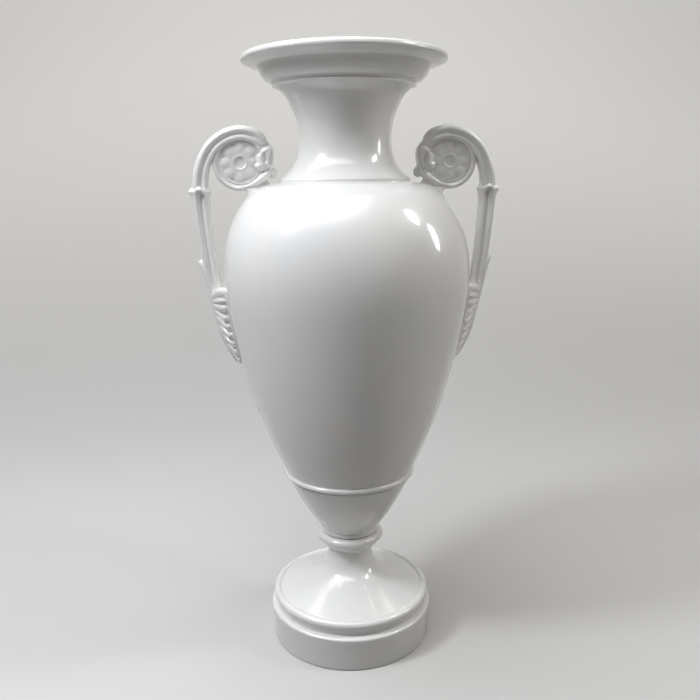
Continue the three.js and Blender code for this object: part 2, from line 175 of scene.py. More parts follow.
# Fired porcelain gives the eye a dense white body under a clear wet skin: soft shade, small hard lights and
# a faint picture of the room, and the poured glaze lets those lights waver a little.
@dataclass(frozen=True)
class GlazedPorcelain:
    """White hard-paste porcelain, dipped in clear feldspar glaze and glost fired."""

    paste: str = "#eceae6"
    pooled: str = "#e8e8e6"
    cloud_mm: float = 38.0
    ripple_mm: float = 9.0
    ripple_height_mm: float = 0.05
    roughness: float = 0.3
    glaze_roughness: float = 0.02

    def build(self) -> bpy.types.Material:
        """Makes the material.

        Returns:
            Porcelain under glaze, faintly clouded, with the glaze's slow ripple.
        """
        material, tree, shader = new_material("porcelain_clear_glazed")
        clouds = object_noise(tree, self.cloud_mm)
        colour = ramp(tree, clouds, [(0.35, linear(self.pooled)), (0.65, linear(self.paste))])
        tree.links.new(colour, shader.inputs["Base Color"])
        ripple = object_noise(tree, self.ripple_mm, detail=1.0)
        bump = add_node(
            tree,
            "ShaderNodeBump",
            {"Height": ripple, "Distance": self.ripple_height_mm * MM, "Strength": 1.0},
        )
        tree.links.new(bump.outputs["Normal"], shader.inputs["Coat Normal"])
        shader.inputs["Roughness"].default_value = self.roughness
        shader.inputs["Coat Weight"].default_value = 1.0
        shader.inputs["Coat Roughness"].default_value = self.glaze_roughness
        shader.inputs["IOR"].default_value = 1.5
        return material


# Turned brass gives the eye a warm yellow metal, bright where it is clean and brown and duller where air
# has reached it.
@dataclass(frozen=True)
class MachinedBrass:
    """Drawn brass bar, turned and dulled by air."""

    bright: str = "#c9ab62"
    tarnished: str = "#8a6c37"

    def build(self) -> bpy.types.Material:
        """Makes the material.

        Returns:
            Brass with tarnish in soft patches.
        """
        material, tree, shader = new_material("brass_turned_bar")
        patches = object_noise(tree, 6.0)
        colour = ramp(tree, patches, [(0.4, linear(self.bright)), (0.72, linear(self.tarnished))])
        tree.links.new(colour, shader.inputs["Base Color"])
        rough = add_node(tree, "ShaderNodeMapRange", {"Value": patches, "To Min": 0.25, "To Max": 0.5})
        tree.links.new(rough.outputs["Result"], shader.inputs["Roughness"])
        shader.inputs["Metallic"].default_value = 1.0
        return material


# Zinc plate gives the eye a cool grey metal with a thin bright skin that stains in small clouds.
@dataclass(frozen=True)
class ZincPlatedSteel:
    """Punched mild steel with a thin coat of bright zinc."""

    zinc: str = "#b9bdbf"
    stain: str = "#8f9294"

    def build(self) -> bpy.types.Material:
        """Makes the material.

        Returns:
            Plated steel, a little stained.
        """
        material, tree, shader = new_material("steel_zinc_plated")
        stains = object_noise(tree, 4.0)
        colour = ramp(tree, stains, [(0.35, linear(self.zinc)), (0.75, linear(self.stain))])
        tree.links.new(colour, shader.inputs["Base Color"])
        shader.inputs["Metallic"].default_value = 1.0
        shader.inputs["Roughness"].default_value = 0.34
        return material


# Pressed cork gives the eye dry matt grains in several browns, with dark seams of glue between them.
@dataclass(frozen=True)
class PressedCork:
    """Cork granules pressed with glue and cut from sheet."""

    light: str = "#b98f5f"
    dark: str = "#6f4c2c"
    granule_mm: float = 1.6

    def build(self) -> bpy.types.Material:
        """Makes the material.

        Returns:
            Matt cork with granules of several browns.
        """
        material, tree, shader = new_material("cork_pressed_sheet")
        place = add_node(tree, "ShaderNodeTexCoord").outputs["Object"]
        cells = add_node(tree, "ShaderNodeTexVoronoi", {"Vector": place, "Scale": 1 / (self.granule_mm * MM)})
        grey = add_node(tree, "ShaderNodeRGBToBW", {"Color": cells.outputs["Color"]}).outputs["Val"]
        colour = ramp(tree, grey, [(0.1, linear(self.dark)), (0.8, linear(self.light))])
        tree.links.new(colour, shader.inputs["Base Color"])
        bump = add_node(tree, "ShaderNodeBump", {"Height": cells.outputs["Distance"], "Distance": 0.2 * MM})
        tree.links.new(bump.outputs["Normal"], shader.inputs["Normal"])
        shader.inputs["Roughness"].default_value = 0.9
        return material


# Cut rubber gives the eye an almost black, lightless face with a grey bloom on it.
@dataclass(frozen=True)
class CutRubber:
    """Soft black rubber sheet, cut with a knife."""

    face: str = "#3a3836"
    bloom: str = "#4d4a47"

    def build(self) -> bpy.types.Material:
        """Makes the material.

        Returns:
            Matt rubber with a grey bloom.
        """
        material, tree, shader = new_material("rubber_cut_sheet")
        bloom = object_noise(tree, 5.0)
        colour = ramp(tree, bloom, [(0.35, linear(self.face)), (0.7, linear(self.bloom))])
        tree.links.new(colour, shader.inputs["Base Color"])
        shader.inputs["Roughness"].default_value = 0.75
        return material


# Lines and meshes


def smooth_line(points: Sequence[Sequence[float]], steps: int) -> np.ndarray:
    """Draws a uniform Catmull-Rom line through points.

    Args:
        points: The places that the line passes through.
        steps: The number of equal steps along it.

    Returns:
        One row for each step's point.
    """
    line = np.array(points, float)
    padded = np.vstack([line[0], line, line[-1]])
    place = np.linspace(0, len(line) - 1, steps + 1)
    span = np.minimum(place.astype(int), len(line) - 2)
    t = (place - span)[:, None]
    p0, p1, p2, p3 = (padded[span + k] for k in range(4))
    start = (p2 - p0) / 2
    end = (p3 - p1) / 2
    return (2 * p1 - 2 * p2 + start + end) * t**3 + (3 * p2 - 3 * p1 - 2 * start - end) * t**2 + start * t + p1


def fair_line(points: Sequence[Sequence[float]], steps: int) -> np.ndarray:
    """Draws a natural cubic spline through points, whose bend changes without a jump a glossy face would show.

    Args:
        points: The places that the line passes through.
        steps: The number of equal steps along it.

    Returns:
        One row for each step's point.
    """
    line = np.array(points, float)
    gone = np.concatenate([[0], np.cumsum(np.linalg.norm(np.diff(line, axis=0), axis=1))])
    gap = np.diff(gone)
    slope = np.diff(line, axis=0) / gap[:, None]
    system = np.eye(len(line))
    wanted = np.zeros_like(line)
    for k in range(1, len(line) - 1):
        system[k, k - 1 : k + 2] = gap[k - 1], 2 * (gap[k - 1] + gap[k]), gap[k]
        wanted[k] = 6 * (slope[k] - slope[k - 1])
    bend = np.linalg.solve(system, wanted)
    place = np.linspace(0, gone[-1], steps + 1)
    span = np.clip(np.searchsorted(gone, place, side="right") - 1, 0, len(gap) - 1)
    past, width = (place - gone[span])[:, None], gap[span][:, None]
    left = width - past
    curve = (bend[span] * left**3 + bend[span + 1] * past**3) / (6 * width)
    start = (line[span] / width - bend[span] * width / 6) * left
    end = (line[span + 1] / width - bend[span + 1] * width / 6) * past
    return curve + start + end


def arc(radius: float, height: float, size: float, start: float, end: float, rise: float = 0) -> np.ndarray:
    """Draws a round or oval moulding in a turned profile.

    Args:
        radius: The moulding centre's distance from the axis.
        height: The centre's height.
        size: The moulding's own radius.
        start: The first angle in degrees.
        end: The last angle in degrees.
        rise: Its half height, where that isn't its radius.

    Returns:
        One row of radius and height for each point.
    """
    angle = np.radians(np.linspace(start, end, 21))
    return np.column_stack([radius + size * np.cos(angle), height + (rise or size) * np.sin(angle)])


def soften(outline: np.ndarray, radius: float, least_turn: float = 22.0) -> np.ndarray:
    """Rounds the sharp corners of a closed outline, as a coat of glaze does.

    Args:
        outline: Rows of points of the closed outline.
        radius: The radius of each rounded corner.
        least_turn: The turn in degrees from which a corner counts as sharp.

    Returns:
        The rounded outline.
    """
    rounded = []
    for k, corner in enumerate(outline):
        back = outline[k - 1] - corner
        ahead = outline[(k + 1) % len(outline)] - corner
        reach_back, reach_ahead = np.linalg.norm(back), np.linalg.norm(ahead)
        opening = math.acos(np.clip(back @ ahead / (reach_back * reach_ahead), -1, 1))
        if math.pi - opening < math.radians(least_turn):
            rounded.append(corner)
            continue
        cut = min(radius / math.tan(opening / 2), 0.45 * reach_back, 0.45 * reach_ahead)
        start = corner + back / reach_back * cut
        end = corner + ahead / reach_ahead * cut
        for t in np.linspace(0, 1, 6):
            rounded.append((1 - t) ** 2 * start + 2 * t * (1 - t) * corner + t**2 * end)
    return np.array(rounded)


def place(name: str, mesh: bpy.types.Mesh) -> bpy.types.Object:
    """Puts a mesh into the scene as an object at the origin.

    Args:
        name: The object's name.
        mesh: The mesh.

    Returns:
        The object.
    """
    piece = bpy.data.objects.new(name, mesh)
    bpy.context.scene.collection.objects.link(piece)
    return piece


def close_up(mesh: bpy.types.Mesh) -> None:
    """Joins a mesh's doubled points and turns its faces outwards.

    Args:
        mesh: The mesh.
    """
    work = bmesh.new()
    work.from_mesh(mesh)
    bmesh.ops.remove_doubles(work, verts=work.verts, dist=1e-7)
    bmesh.ops.recalc_face_normals(work, faces=work.faces)
    work.to_mesh(mesh)
    work.free()
    mesh.shade_smooth()


def new_object(name: str, points: np.ndarray, faces: Sequence[Sequence[int]]) -> bpy.types.Object:
    """Makes a smooth closed mesh object with its faces outwards.

    Args:
        name: The object's name.
        points: Rows of points in millimetres.
        faces: Point numbers of each face.

    Returns:
        The object, linked to the scene.
    """
    mesh = bpy.data.meshes.new(name)
    mesh.from_pydata((points * MM).tolist(), [], [list(map(int, face)) for face in faces])
    close_up(mesh)
    return place(name, mesh)


def ring_faces(rings: int, count: int, wraps: bool) -> list[tuple[int, int, int, int]]:
    """Lists the faces between rings of points.

    Args:
        rings: The number of rings.
        count: The points of each ring.
        wraps: Whether the last ring joins the first.

    Returns:
        Point numbers of each four-sided face.
    """
    faces = []
    for ring in range(rings if wraps else rings - 1):
        base, above = ring * count, ((ring + 1) % rings) * count
        for k in range(count):
            following = (k + 1) % count
            faces.append((base + k, base + following, above + following, above + k))
    return faces


def skin(name: str, rings: np.ndarray) -> bpy.types.Object:
    """Makes a closed skin over rings, with a fan over each end.

    Args:
        name: The object's name.
        rings: An array of rings, points and coordinates.

    Returns:
        The object.
    """
    number, count = rings.shape[:2]
    hubs = [rings[0].mean(0), rings[-1].mean(0)]
    points = np.vstack([rings.reshape(-1, 3), hubs])
    faces: list[tuple[int, ...]] = list(ring_faces(number, count, wraps=False))
    for first, hub in ((0, number * count), ((number - 1) * count, number * count + 1)):
        faces += [(first + k, first + (k + 1) % count, hub) for k in range(count)]
    return new_object(name, points, faces)


def bar(path: Sequence[Sequence[float]], steps: int) -> np.ndarray:
    """Draws a round bar of changing thickness along a smooth path.

    Args:
        path: Rows of x, y, z and radius.
        steps: Steps along the path.

    Returns:
        The rings of the skin.
    """
    line = smooth_line(path, steps)
    along = np.gradient(line[:, :3], axis=0)
    along /= np.linalg.norm(along, axis=1)[:, None]
    aside = np.cross(along, [0, 1, 0])
    aside /= np.linalg.norm(aside, axis=1)[:, None]
    above = np.cross(along, aside)
    angle = np.linspace(0, 2 * math.pi, 20, endpoint=False)
    round_x, round_y = np.cos(angle)[None, :, None], np.sin(angle)[None, :, None]
    rings = line[:, None, :3] + line[:, None, 3:] * (round_x * aside[:, None] + round_y * above[:, None])
    caps = [line[k, None, :3] + 0.3 * (rings[k] - line[k, :3]) + sign * 0.6 * line[k, 3] * along[k]
            for k, sign in ((0, -1), (-1, 1))]
    return np.concatenate([[caps[0]], rings, [caps[1]]])


def level_rings(line: Sequence[Sequence[float]], count: int) -> np.ndarray:
    """Draws level circles up a line.

    Args:
        line: Rows of x, y, z and radius.
        count: Points of each circle.

    Returns:
        The rings of the skin.
    """
    angle = np.linspace(0, 2 * math.pi, count, endpoint=False)
    rings = [np.column_stack([x + r * np.cos(angle), y + r * np.sin(angle), np.full(count, z)]) for x, y, z, r in line]
    return np.array(rings)


def fuse(name: str, shapes: Sequence[np.ndarray], grain_mm: float, rounds: int) -> bpy.types.Object:
    """Grows overlapping shapes into one skin whose hollows are softened as glaze softens them.

    Args:
        name: The object's name.
        shapes: The rings of each shape.
        grain_mm: The size of the new skin's faces.
        rounds: Rounds of smoothing.

    Returns:
        The object.
    """
    parts = [skin(f"{name}_shape", rings) for rings in shapes]
    work = bmesh.new()
    for part in parts:
        work.from_mesh(part.data)
        bpy.data.objects.remove(part)
    mesh = bpy.data.meshes.new(name)
    work.to_mesh(mesh)
    work.free()
    rough = place(name, mesh)
    grow = rough.modifiers.new("grow", "REMESH")
    grow.mode = "VOXEL"
    grow.voxel_size = grain_mm * MM
    ease = rough.modifiers.new("ease", "SMOOTH")
    ease.factor = 0.5
    ease.iterations = rounds
    evaluated = rough.evaluated_get(bpy.context.evaluated_depsgraph_get())
    fused = bpy.data.meshes.new_from_object(evaluated)
    bpy.data.objects.remove(rough)
    fused.shade_smooth()
    return place(name, fused)


# Trees of Geometry Nodes


def new_tree(name: str, sizes: dict[str, str]) -> tuple[bpy.types.NodeTree, bpy.types.bpy_prop_collection]:
    """Starts a Geometry Nodes tree with named inputs for its sizes and its finish.

    Args:
        name: The tree's name.
        sizes: Each input's name and socket type.

    Returns:
        The tree and the outputs of its input node.
    """
    tree = bpy.data.node_groups.new(name, "GeometryNodeTree")
    inputs = {"Geometry": "NodeSocketGeometry", **sizes, "Finish": "NodeSocketMaterial"}
    for label, kind in inputs.items():
        tree.interface.new_socket(label, in_out="INPUT", socket_type=kind)
    tree.interface.new_socket("Geometry", in_out="OUTPUT", socket_type="NodeSocketGeometry")
    return tree, add_node(tree, "NodeGroupInput").outputs


def end_tree(tree: bpy.types.NodeTree, shape: bpy.types.NodeSocket, finish: bpy.types.NodeSocket) -> None:
    """Ends a tree in real geometry that has its finish.

    Args:
        tree: The tree.
        shape: The finished geometry.
        finish: The tree's material input.
    """
    real = add_node(tree, "GeometryNodeRealizeInstances", {"Geometry": shape})
    dressed = add_node(tree, "GeometryNodeSetMaterial", {"Geometry": real.outputs["Geometry"], "Material": finish})
    add_node(tree, "NodeGroupOutput", {"Geometry": dressed.outputs["Geometry"]})


def grow(start: bpy.types.Object, tree: bpy.types.NodeTree, sizes: dict[str, object]) -> bpy.types.Object:
    """Runs a tree on a piece and keeps the result as a plain closed mesh.

    Args:
        start: The piece that holds what the tree starts from.
        tree: The tree.
        sizes: Input name to value, lengths in metres.

    Returns:
        The same piece with its new mesh.
    """
    modifier = start.modifiers.new(tree.name, "NODES")
    modifier.node_group = tree
    for item in tree.interface.items_tree:
        if item.in_out == "INPUT" and item.name in sizes:
            modifier[item.identifier] = sizes[item.name]
    evaluated = start.evaluated_get(bpy.context.evaluated_depsgraph_get())
    mesh = bpy.data.meshes.new_from_object(evaluated)
    start.modifiers.remove(modifier)
    outline, start.data = start.data, mesh
    bpy.data.meshes.remove(outline)
    close_up(mesh)
    return start


def lathe_tree() -> bpy.types.NodeTree:
    """Builds the tree that turns a closed outline about the Z axis, by sweeping it round a circle.

    Returns:
        The tree.
    """
    tree, given = new_tree("turned_outline", {"Steps": "NodeSocketInt", "Circle": "NodeSocketFloat"})
    outline = add_node(tree, "GeometryNodeMeshToCurve", {"Mesh": given["Geometry"]})
    circle = add_node(
        tree, "GeometryNodeCurvePrimitiveCircle", {"Resolution": given["Steps"], "Radius": given["Circle"]}
    )
    level = add_node(tree, "GeometryNodeSetCurveNormal", {"Curve": circle.outputs["Curve"]}, mode="Z_UP")
    swept = add_node(
        tree,
        "GeometryNodeCurveToMesh",
        {"Curve": level.outputs["Curve"], "Profile Curve": outline.outputs["Curve"]},
    )
    end_tree(tree, swept.outputs["Mesh"], given["Finish"])
    return tree


def petal_tree() -> bpy.types.NodeTree:
    """Builds the tree that sets one petal's sector round a centre and turns the rosette to face its side.

    Returns:
        The tree.
    """
    sizes = {"Petals": "NodeSocketInt", "Turn": "NodeSocketVector", "Centre": "NodeSocketVector"}
    tree, given = new_tree("petals_in_a_ring", sizes)
    places = add_node(tree, "GeometryNodePoints", {"Count": given["Petals"]})
    share = add_node(
        tree,
        "ShaderNodeMath",
        {0: add_node(tree, "GeometryNodeInputIndex").outputs["Index"], 1: given["Petals"]},
        operation="DIVIDE",
    )
    angle = add_node(tree, "ShaderNodeMath", {0: share.outputs["Value"], 1: 2 * math.pi}, operation="MULTIPLY")
    around = add_node(tree, "ShaderNodeCombineXYZ", {"Z": angle.outputs["Value"]})
    petals = add_node(
        tree,
        "GeometryNodeInstanceOnPoints",
        {
            "Points": places.outputs["Points"],
            "Instance": given["Geometry"],
            "Rotation": around.outputs["Vector"],
        },
    )
    real = add_node(tree, "GeometryNodeRealizeInstances", {"Geometry": petals.outputs["Instances"]})
    faced = add_node(
        tree,
        "GeometryNodeTransform",
        {"Geometry": real.outputs["Geometry"], "Rotation": given["Turn"], "Translation": given["Centre"]},
    )
    end_tree(tree, faced.outputs["Geometry"], given["Finish"])
    return tree


def thread_tree() -> bpy.types.NodeTree:
    """Builds the tree that winds a thread's ridge along a rod.

    Returns:
        The tree.
    """
    sizes = {
        "Turns": "NodeSocketFloat",
        "Radius": "NodeSocketFloat",
        "Ridge": "NodeSocketFloat",
        "Length": "NodeSocketFloat",
        "Start": "NodeSocketVector",
    }
    tree, given = new_tree("thread_on_a_rod", sizes)
    helix = add_node(
        tree,
        "GeometryNodeCurveSpiral",
        {
            "Resolution": 40,
            "Rotations": given["Turns"],
            "Start Radius": given["Radius"],
            "End Radius": given["Radius"],
            "Height": given["Length"],
        },
    )
    level = add_node(tree, "GeometryNodeSetCurveNormal", {"Curve": helix.outputs["Curve"]}, mode="Z_UP")
    ridge = add_node(tree, "GeometryNodeCurvePrimitiveCircle", {"Resolution": 4, "Radius": given["Ridge"]})
    wound = add_node(
        tree,
        "GeometryNodeCurveToMesh",
        {"Curve": level.outputs["Curve"], "Profile Curve": ridge.outputs["Curve"], "Fill Caps": True},
    )
    raised = add_node(
        tree, "GeometryNodeTransform", {"Geometry": wound.outputs["Mesh"], "Translation": given["Start"]}
    )
    joined = add_node(tree, "GeometryNodeJoinGeometry", {"Geometry": given["Geometry"]})
    tree.links.new(raised.outputs["Geometry"], joined.inputs["Geometry"])
    end_tree(tree, joined.outputs["Geometry"], given["Finish"])
    return tree


@dataclass
class Workshop:
    """The finishes and the trees that the pieces are made with."""

    finishes: dict[Slot, bpy.types.Material]
    lathe: bpy.types.NodeTree
    petals: bpy.types.NodeTree
    thread: bpy.types.NodeTree
    circle: float = 20.0

    def turn(self, name: str, outline: np.ndarray, steps: int, slot: Slot, soft: float = 0.5) -> bpy.types.Object:
        """Turns a closed outline about the Z axis.

        Args:
            name: The object's name.
            outline: Rows of radius and height.
            steps: Steps round the axis.
            slot: The slot whose finish it takes.
            soft: The radius of its rounded corners.

        Returns:
            The object.
        """
        line = soften(outline, soft)
        flat = np.column_stack([line[:, 0] - self.circle, -line[:, 1], np.zeros(len(line))])
        edges = [(k, (k + 1) % len(line)) for k in range(len(line))]
        mesh = bpy.data.meshes.new(name)
        mesh.from_pydata((flat * MM).tolist(), edges, [])
        piece = place(name, mesh)
        sizes = {"Steps": steps, "Circle": self.circle * MM, "Finish": self.finishes[slot]}
        return grow(piece, self.lathe, sizes)


# Relief


@dataclass(frozen=True)
class Stroke:
    """One stroke of the modelling tool on a leaf's face: a ridge, or a hollow where its height is negative."""

    height: float
    half_width: float
    path: tuple[tuple[float, float], ...]

    def lift(self, places: np.ndarray) -> np.ndarray:
        """Works out how far the stroke raises a face.

        Args:
            places: Rows of x and z in millimetres.

        Returns:
            The lift at each place.
        """
        line = smooth_line(self.path, 40) if len(self.path) > 2 else np.linspace(*self.path, 20)
        gap = np.linalg.norm(places[:, None, :] - line[None, :, :], axis=2).min(axis=1)
        return self.height * np.exp(-((gap / self.half_width) ** 2))


def emboss(piece: bpy.types.Object, strokes: Sequence[Stroke], edge: float) -> None:
    """Models strokes into both faces of a piece, fading out towards its edge.

    Args:
        piece: A piece that lies along the XZ plane.
        strokes: The strokes.
        edge: The distance from that plane at which a stroke has half of its height.
    """
    mesh = piece.data
    flat = np.empty(3 * len(mesh.vertices))
    mesh.vertices.foreach_get("co", flat)
    points = flat.reshape(-1, 3) / MM
    raised = sum(stroke.lift(points[:, [0, 2]]) for stroke in strokes)
    share = np.tanh(np.abs(points[:, 1]) / edge)
    points[:, 1] += np.sign(points[:, 1]) * share * raised
    mesh.vertices.foreach_set("co", (points * MM).ravel())
    mesh.update()


CURL_RELIEF = (
    Stroke(0.4, 1.3, ((71.8, 431.8), (68, 433.6), (64.3, 435.3))),
    Stroke(-1.7, 1.7, ((71.4, 429.4), (67, 430.9), (62.2, 432.4))),
    Stroke(1.1, 1.4, ((60.4, 429.2), (64.4, 428.3), (67.4, 426.2), (68.4, 423.4), (67.4, 420), (66.2, 416.8))),
    Stroke(0.9, 2.6, ((70.8, 416.2), (69.2, 414.2), (68.2, 412.6))),
    Stroke(-2, 1.4, ((65.6, 425.2), (64.9, 423.2), (64.3, 420.6))),
    Stroke(0.8, 0.9, ((63.3, 425.8), (62.4, 423.4), (62.2, 420.4), (62.6, 418))),
    Stroke(-1.2, 1.2, ((60.5, 426.6), (60.4, 423.8), (61, 420.6), (62, 416.6), (63.2, 413.4))),
    Stroke(0.6, 1.3, ((58.4, 427), (57.8, 423.2), (58.2, 418.4), (60.2, 414.6))),
    Stroke(-1.4, 1.4, ((72.6, 420.4), (71.2, 418.4))),
    Stroke(-1, 1, ((72.6, 411.2), (70, 410.4), (67.4, 411.6))),
)


# Turned members

SEGMENTS = 224
BOWL_BOTTOM = 98.0
BOWL_TOP = 158.0
SHOULDER_TOP = 403.5
PLINTH_TOP = 30.6
FOOT_TOP = 97.2
FOOT_WEB = 60.0
BOWL_FLOOR = 110.5
WALL = 5.0
BODY_POINTS = (
    (55.9, 158), (70.4, 191.1), (80.1, 218.4), (89.1, 251.2), (97.7, 291.6), (101.6, 321.6),
    (100.7, 345.7), (95.6, 366.8), (83.9, 388.2), (68.9, 400.5), (58.9, 402.7), (54, 403.5),
)


def body_line(steps: int, outwards: float = 0.0) -> np.ndarray:
    """Draws the body's outer line from its foot to the shoulder.

    Args:
        steps: The number of steps.
        outwards: How far the line is moved outwards.

    Returns:
        Rows of radius and height.
    """
    line = fair_line(BODY_POINTS, steps)
    along = np.gradient(line, axis=0)
    along /= np.linalg.norm(along, axis=1)[:, None]
    return line + outwards * np.column_stack([along[:, 1], -along[:, 0]])


FINE_BODY = body_line(600)


def body_radius(height: np.ndarray | float) -> np.ndarray:
    """Gives the body's radius at a height.

    Args:
        height: One height or many.

    Returns:
        The radius for each.
    """
    return np.interp(height, FINE_BODY[:, 1], FINE_BODY[:, 0])


@dataclass
class TurnedMembers:
    """The five thrown and turned members of the vase."""

    shop: Workshop

    def neck_and_mouth(self) -> np.ndarray:
        """Draws the neck.

        Returns:
            Its closed outline.
        """
        flare = [
            (51.6, 406.8), (43.5, 415), (38, 429), (37.5, 441), (39.4, 452), (43.3, 462), (48.1, 470.4), (54.2, 476),
        ]
        outer = fair_line(flare, 90)
        fillet = [(57.6, 476.9), (57.2, 477.8), (58.6, 479.8)]
        ovolo = smooth_line([(60.4, 480.2), (63, 481.9), (65.8, 485.2), (67.8, 488.8), (69.2, 491)], 30)
        soffit = smooth_line([(69.8, 491.5), (75.2, 492.8), (80.6, 494.8)], 12)
        lip = smooth_line([(81.3, 495.4), (81.5, 496.7), (80.9, 498.6), (79.4, 499.8), (77.6, 500)], 24)
        bore = [(74.5, 499.6), (67, 494.5), (50, 477.5), (37.4, 458), (32.4, 438), (36.6, 417), (46, 404.5)]
        start = [(46, SHOULDER_TOP - 1.5), (53.1, SHOULDER_TOP - 1.5), (53.1, 405.3)]
        return np.vstack([start, outer, fillet, ovolo, soffit, lip, smooth_line(bore, 80)])

    def body_shell(self) -> np.ndarray:
        """Draws the body.

        Returns:
            Its closed outline.
        """
        inner = body_line(120, -WALL)[::-1]
        inner = inner[(inner[:, 1] < SHOULDER_TOP - WALL) & (inner[:, 1] > BOWL_TOP + 1)]
        seat = [(45, SHOULDER_TOP), (45, SHOULDER_TOP - WALL)]
        return np.vstack([body_line(240), seat, inner, [(50.5, BOWL_TOP)]])

    def lower_bowl(self) -> np.ndarray:
        """Draws the cup under the body.

        Returns:
            Its closed outline.
        """
        outer = fair_line([(27.6, 105.2), (37.8, 120), (48.7, 140), (54.6, 151.4)], 50)
        inner = smooth_line([(47, 147), (38.6, 130), (26, 112)], 30)
        groove = [(54.1, 151.9), (54, 152.5)]
        bead = arc(55.2, 155.3, 2.3, -100, 80)
        ring = [(25.6, BOWL_BOTTOM), (26.1, 98.8), (26.1, 101), (25.6, 101.8), (26.3, 103.2)]
        start = [(5.2, BOWL_BOTTOM), *ring]
        end = [(22, BOWL_FLOOR), (5.2, BOWL_FLOOR)]
        return np.vstack([start, outer, groove, bead, [(55.9, BOWL_TOP + 0.2), (50.5, BOWL_TOP + 0.2)], inner, end])

    def foot(self) -> np.ndarray:
        """Draws the foot with its knop, trumpet and torus.

        Returns:
            Its closed outline.
        """
        start = [(58, PLINTH_TOP), (66.6, PLINTH_TOP), (66.2, 32.6), (67.4, 34), (67.6, 35.8)]
        torus = arc(66.2, 40, 3.9, -60, 128)
        trumpet = fair_line([(63.2, 43.5), (45.6, 49.9), (30.3, 57.5), (23, 64.8), (20, 74), (19.6, 79.6)], 70)
        ring = [(20.3, 82.6), (22.2, 84.5), (24.7, 86), (26.1, 87.8), (26.3, 89), (26.8, 89.5)]
        knop = arc(24.6, 93, 5.1, -58, 70, 4.1)
        top = [(25.6, FOOT_TOP), (7, FOOT_TOP), (7, FOOT_WEB), (18, FOOT_WEB), (30, 50.5), (52, 39)]
        return np.vstack([start, torus, [(63.6, 42.8)], trumpet, ring, knop, top])

    def plinth(self) -> np.ndarray:
        """Draws the drum under the foot.

        Returns:
            Its closed outline.
        """
        side = [(62, 0), (70, 0), (70.9, 0.9), (71.1, 15), (72.1, 24)]
        lip = arc(70.5, 28.4, 2, 0, 80)
        return np.vstack([side, lip, [(69.8, PLINTH_TOP), (58, PLINTH_TOP), (64.5, 24.5), (64.5, 3)]])

    def build(self) -> dict[str, bpy.types.Object]:
        """Makes the members.

        Returns:
            CAD node name to object.
        """
        outlines: dict[str, Callable[[], np.ndarray]] = {
            "neck_and_mouth": self.neck_and_mouth,
            "body_shell": self.body_shell,
            "lower_bowl": self.lower_bowl,
            "foot": self.foot,
            "plinth": self.plinth,
        }
        return {
            node: self.shop.turn(f"{node}_glazed", draw(), SEGMENTS, Slot.PORCELAIN)
            for node, draw in outlines.items()
        }

    def dress(self, pieces: dict[str, bpy.types.Object]) -> None:
        """Gives every member its finish and its place in the frame.

        Args:
            pieces: CAD node name to object.
        """
        for node, piece in pieces.items():
            hand_over(piece, node, Slot.PORCELAIN, self.shop)


def hand_over(piece: bpy.types.Object, node: str, slot: Slot, shop: Workshop) -> None:
    """Dresses a piece and lets it stand for a CAD node.

    Args:
        piece: The Blender piece.
        node: The CAD node's name.
        slot: Its material slot.
        shop: The workshop that holds the finishes.
    """
    if not piece.data.materials:
        piece.data.materials.append(shop.finishes[slot])
    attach(piece, ROOT_BODY)
    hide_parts(node)
    LOG.info("%s stands for %s with %d faces", piece.name, node, len(piece.data.polygons))


# Handles


def centripetal(points: np.ndarray, steps: int) -> np.ndarray:
    """Draws a smooth line through points and spaces it evenly.

    Args:
        points: Rows of any values, the first two of which are a place.
        steps: The number of steps.

    Returns:
        One row for each step.
    """
    fine = smooth_line(points, 40 * len(points))
    gone = np.concatenate([[0], np.cumsum(np.linalg.norm(np.diff(fine[:, :2], axis=0), axis=1))])
    even = np.linspace(0, gone[-1], steps + 1)
    return np.column_stack([np.interp(even, gone, column) for column in fine.T])


@dataclass(frozen=True)
class Flute:
    """The V flute down each flank of a stalk, as shares of the stalk's size."""

    depth: float = 0.3
    half_width: float = 0.3
    offset: float = 0.0
    roundness: float = 0.72
    run_out: float = 0.0


def fluted_outline(width: float, depth: float, flute: Flute, count: int) -> np.ndarray:
    """Draws a stalk's section with a V flute down each flank.

    Args:
        width: The size in the handle's plane.
        depth: The size across that plane.
        flute: The flute's own sizes.
        count: The number of points.

    Returns:
        Rows of the two coordinates of the section.
    """
    angle = np.linspace(0, 2 * math.pi, count, endpoint=False)
    u = width / 2 * np.cos(angle)
    aside = np.hypot((u / width - flute.offset) / flute.half_width, 0.16) - 0.02
    valley = np.clip(1 - aside, 0, None) ** 1.35
    v = depth / 2 * np.sign(np.sin(angle)) * np.abs(np.sin(angle)) ** flute.roundness
    return np.column_stack([u, v * (1 - flute.depth * valley)])


def stalk(stations: Sequence[Sequence[float]], steps: int, flute: Flute = Flute(), count: int = 96) -> np.ndarray:
    """Lofts a fluted section along a line in the handle's plane.

    Args:
        stations: Rows of x, z, width and depth.
        steps: Steps along the line.
        flute: The flute's sizes.
        count: Points of the section.

    Returns:
        The rings of the skin.
    """
    line = centripetal(np.array(stations, float), steps)
    along = np.gradient(line[:, :2], axis=0)
    along /= np.linalg.norm(along, axis=1)[:, None]
    rings = []
    for share, (x, z, width, depth), (dx, dz) in zip(np.linspace(1, 0, len(line)), line, along):
        left = min(1.0, share / flute.run_out) if flute.run_out else 1.0
        section = fluted_outline(width, depth, replace(flute, depth=flute.depth * left), count)
        rings.append(np.column_stack([x + dz * section[:, 0], section[:, 1], z - dx * section[:, 0]]))
    return np.array(rings)


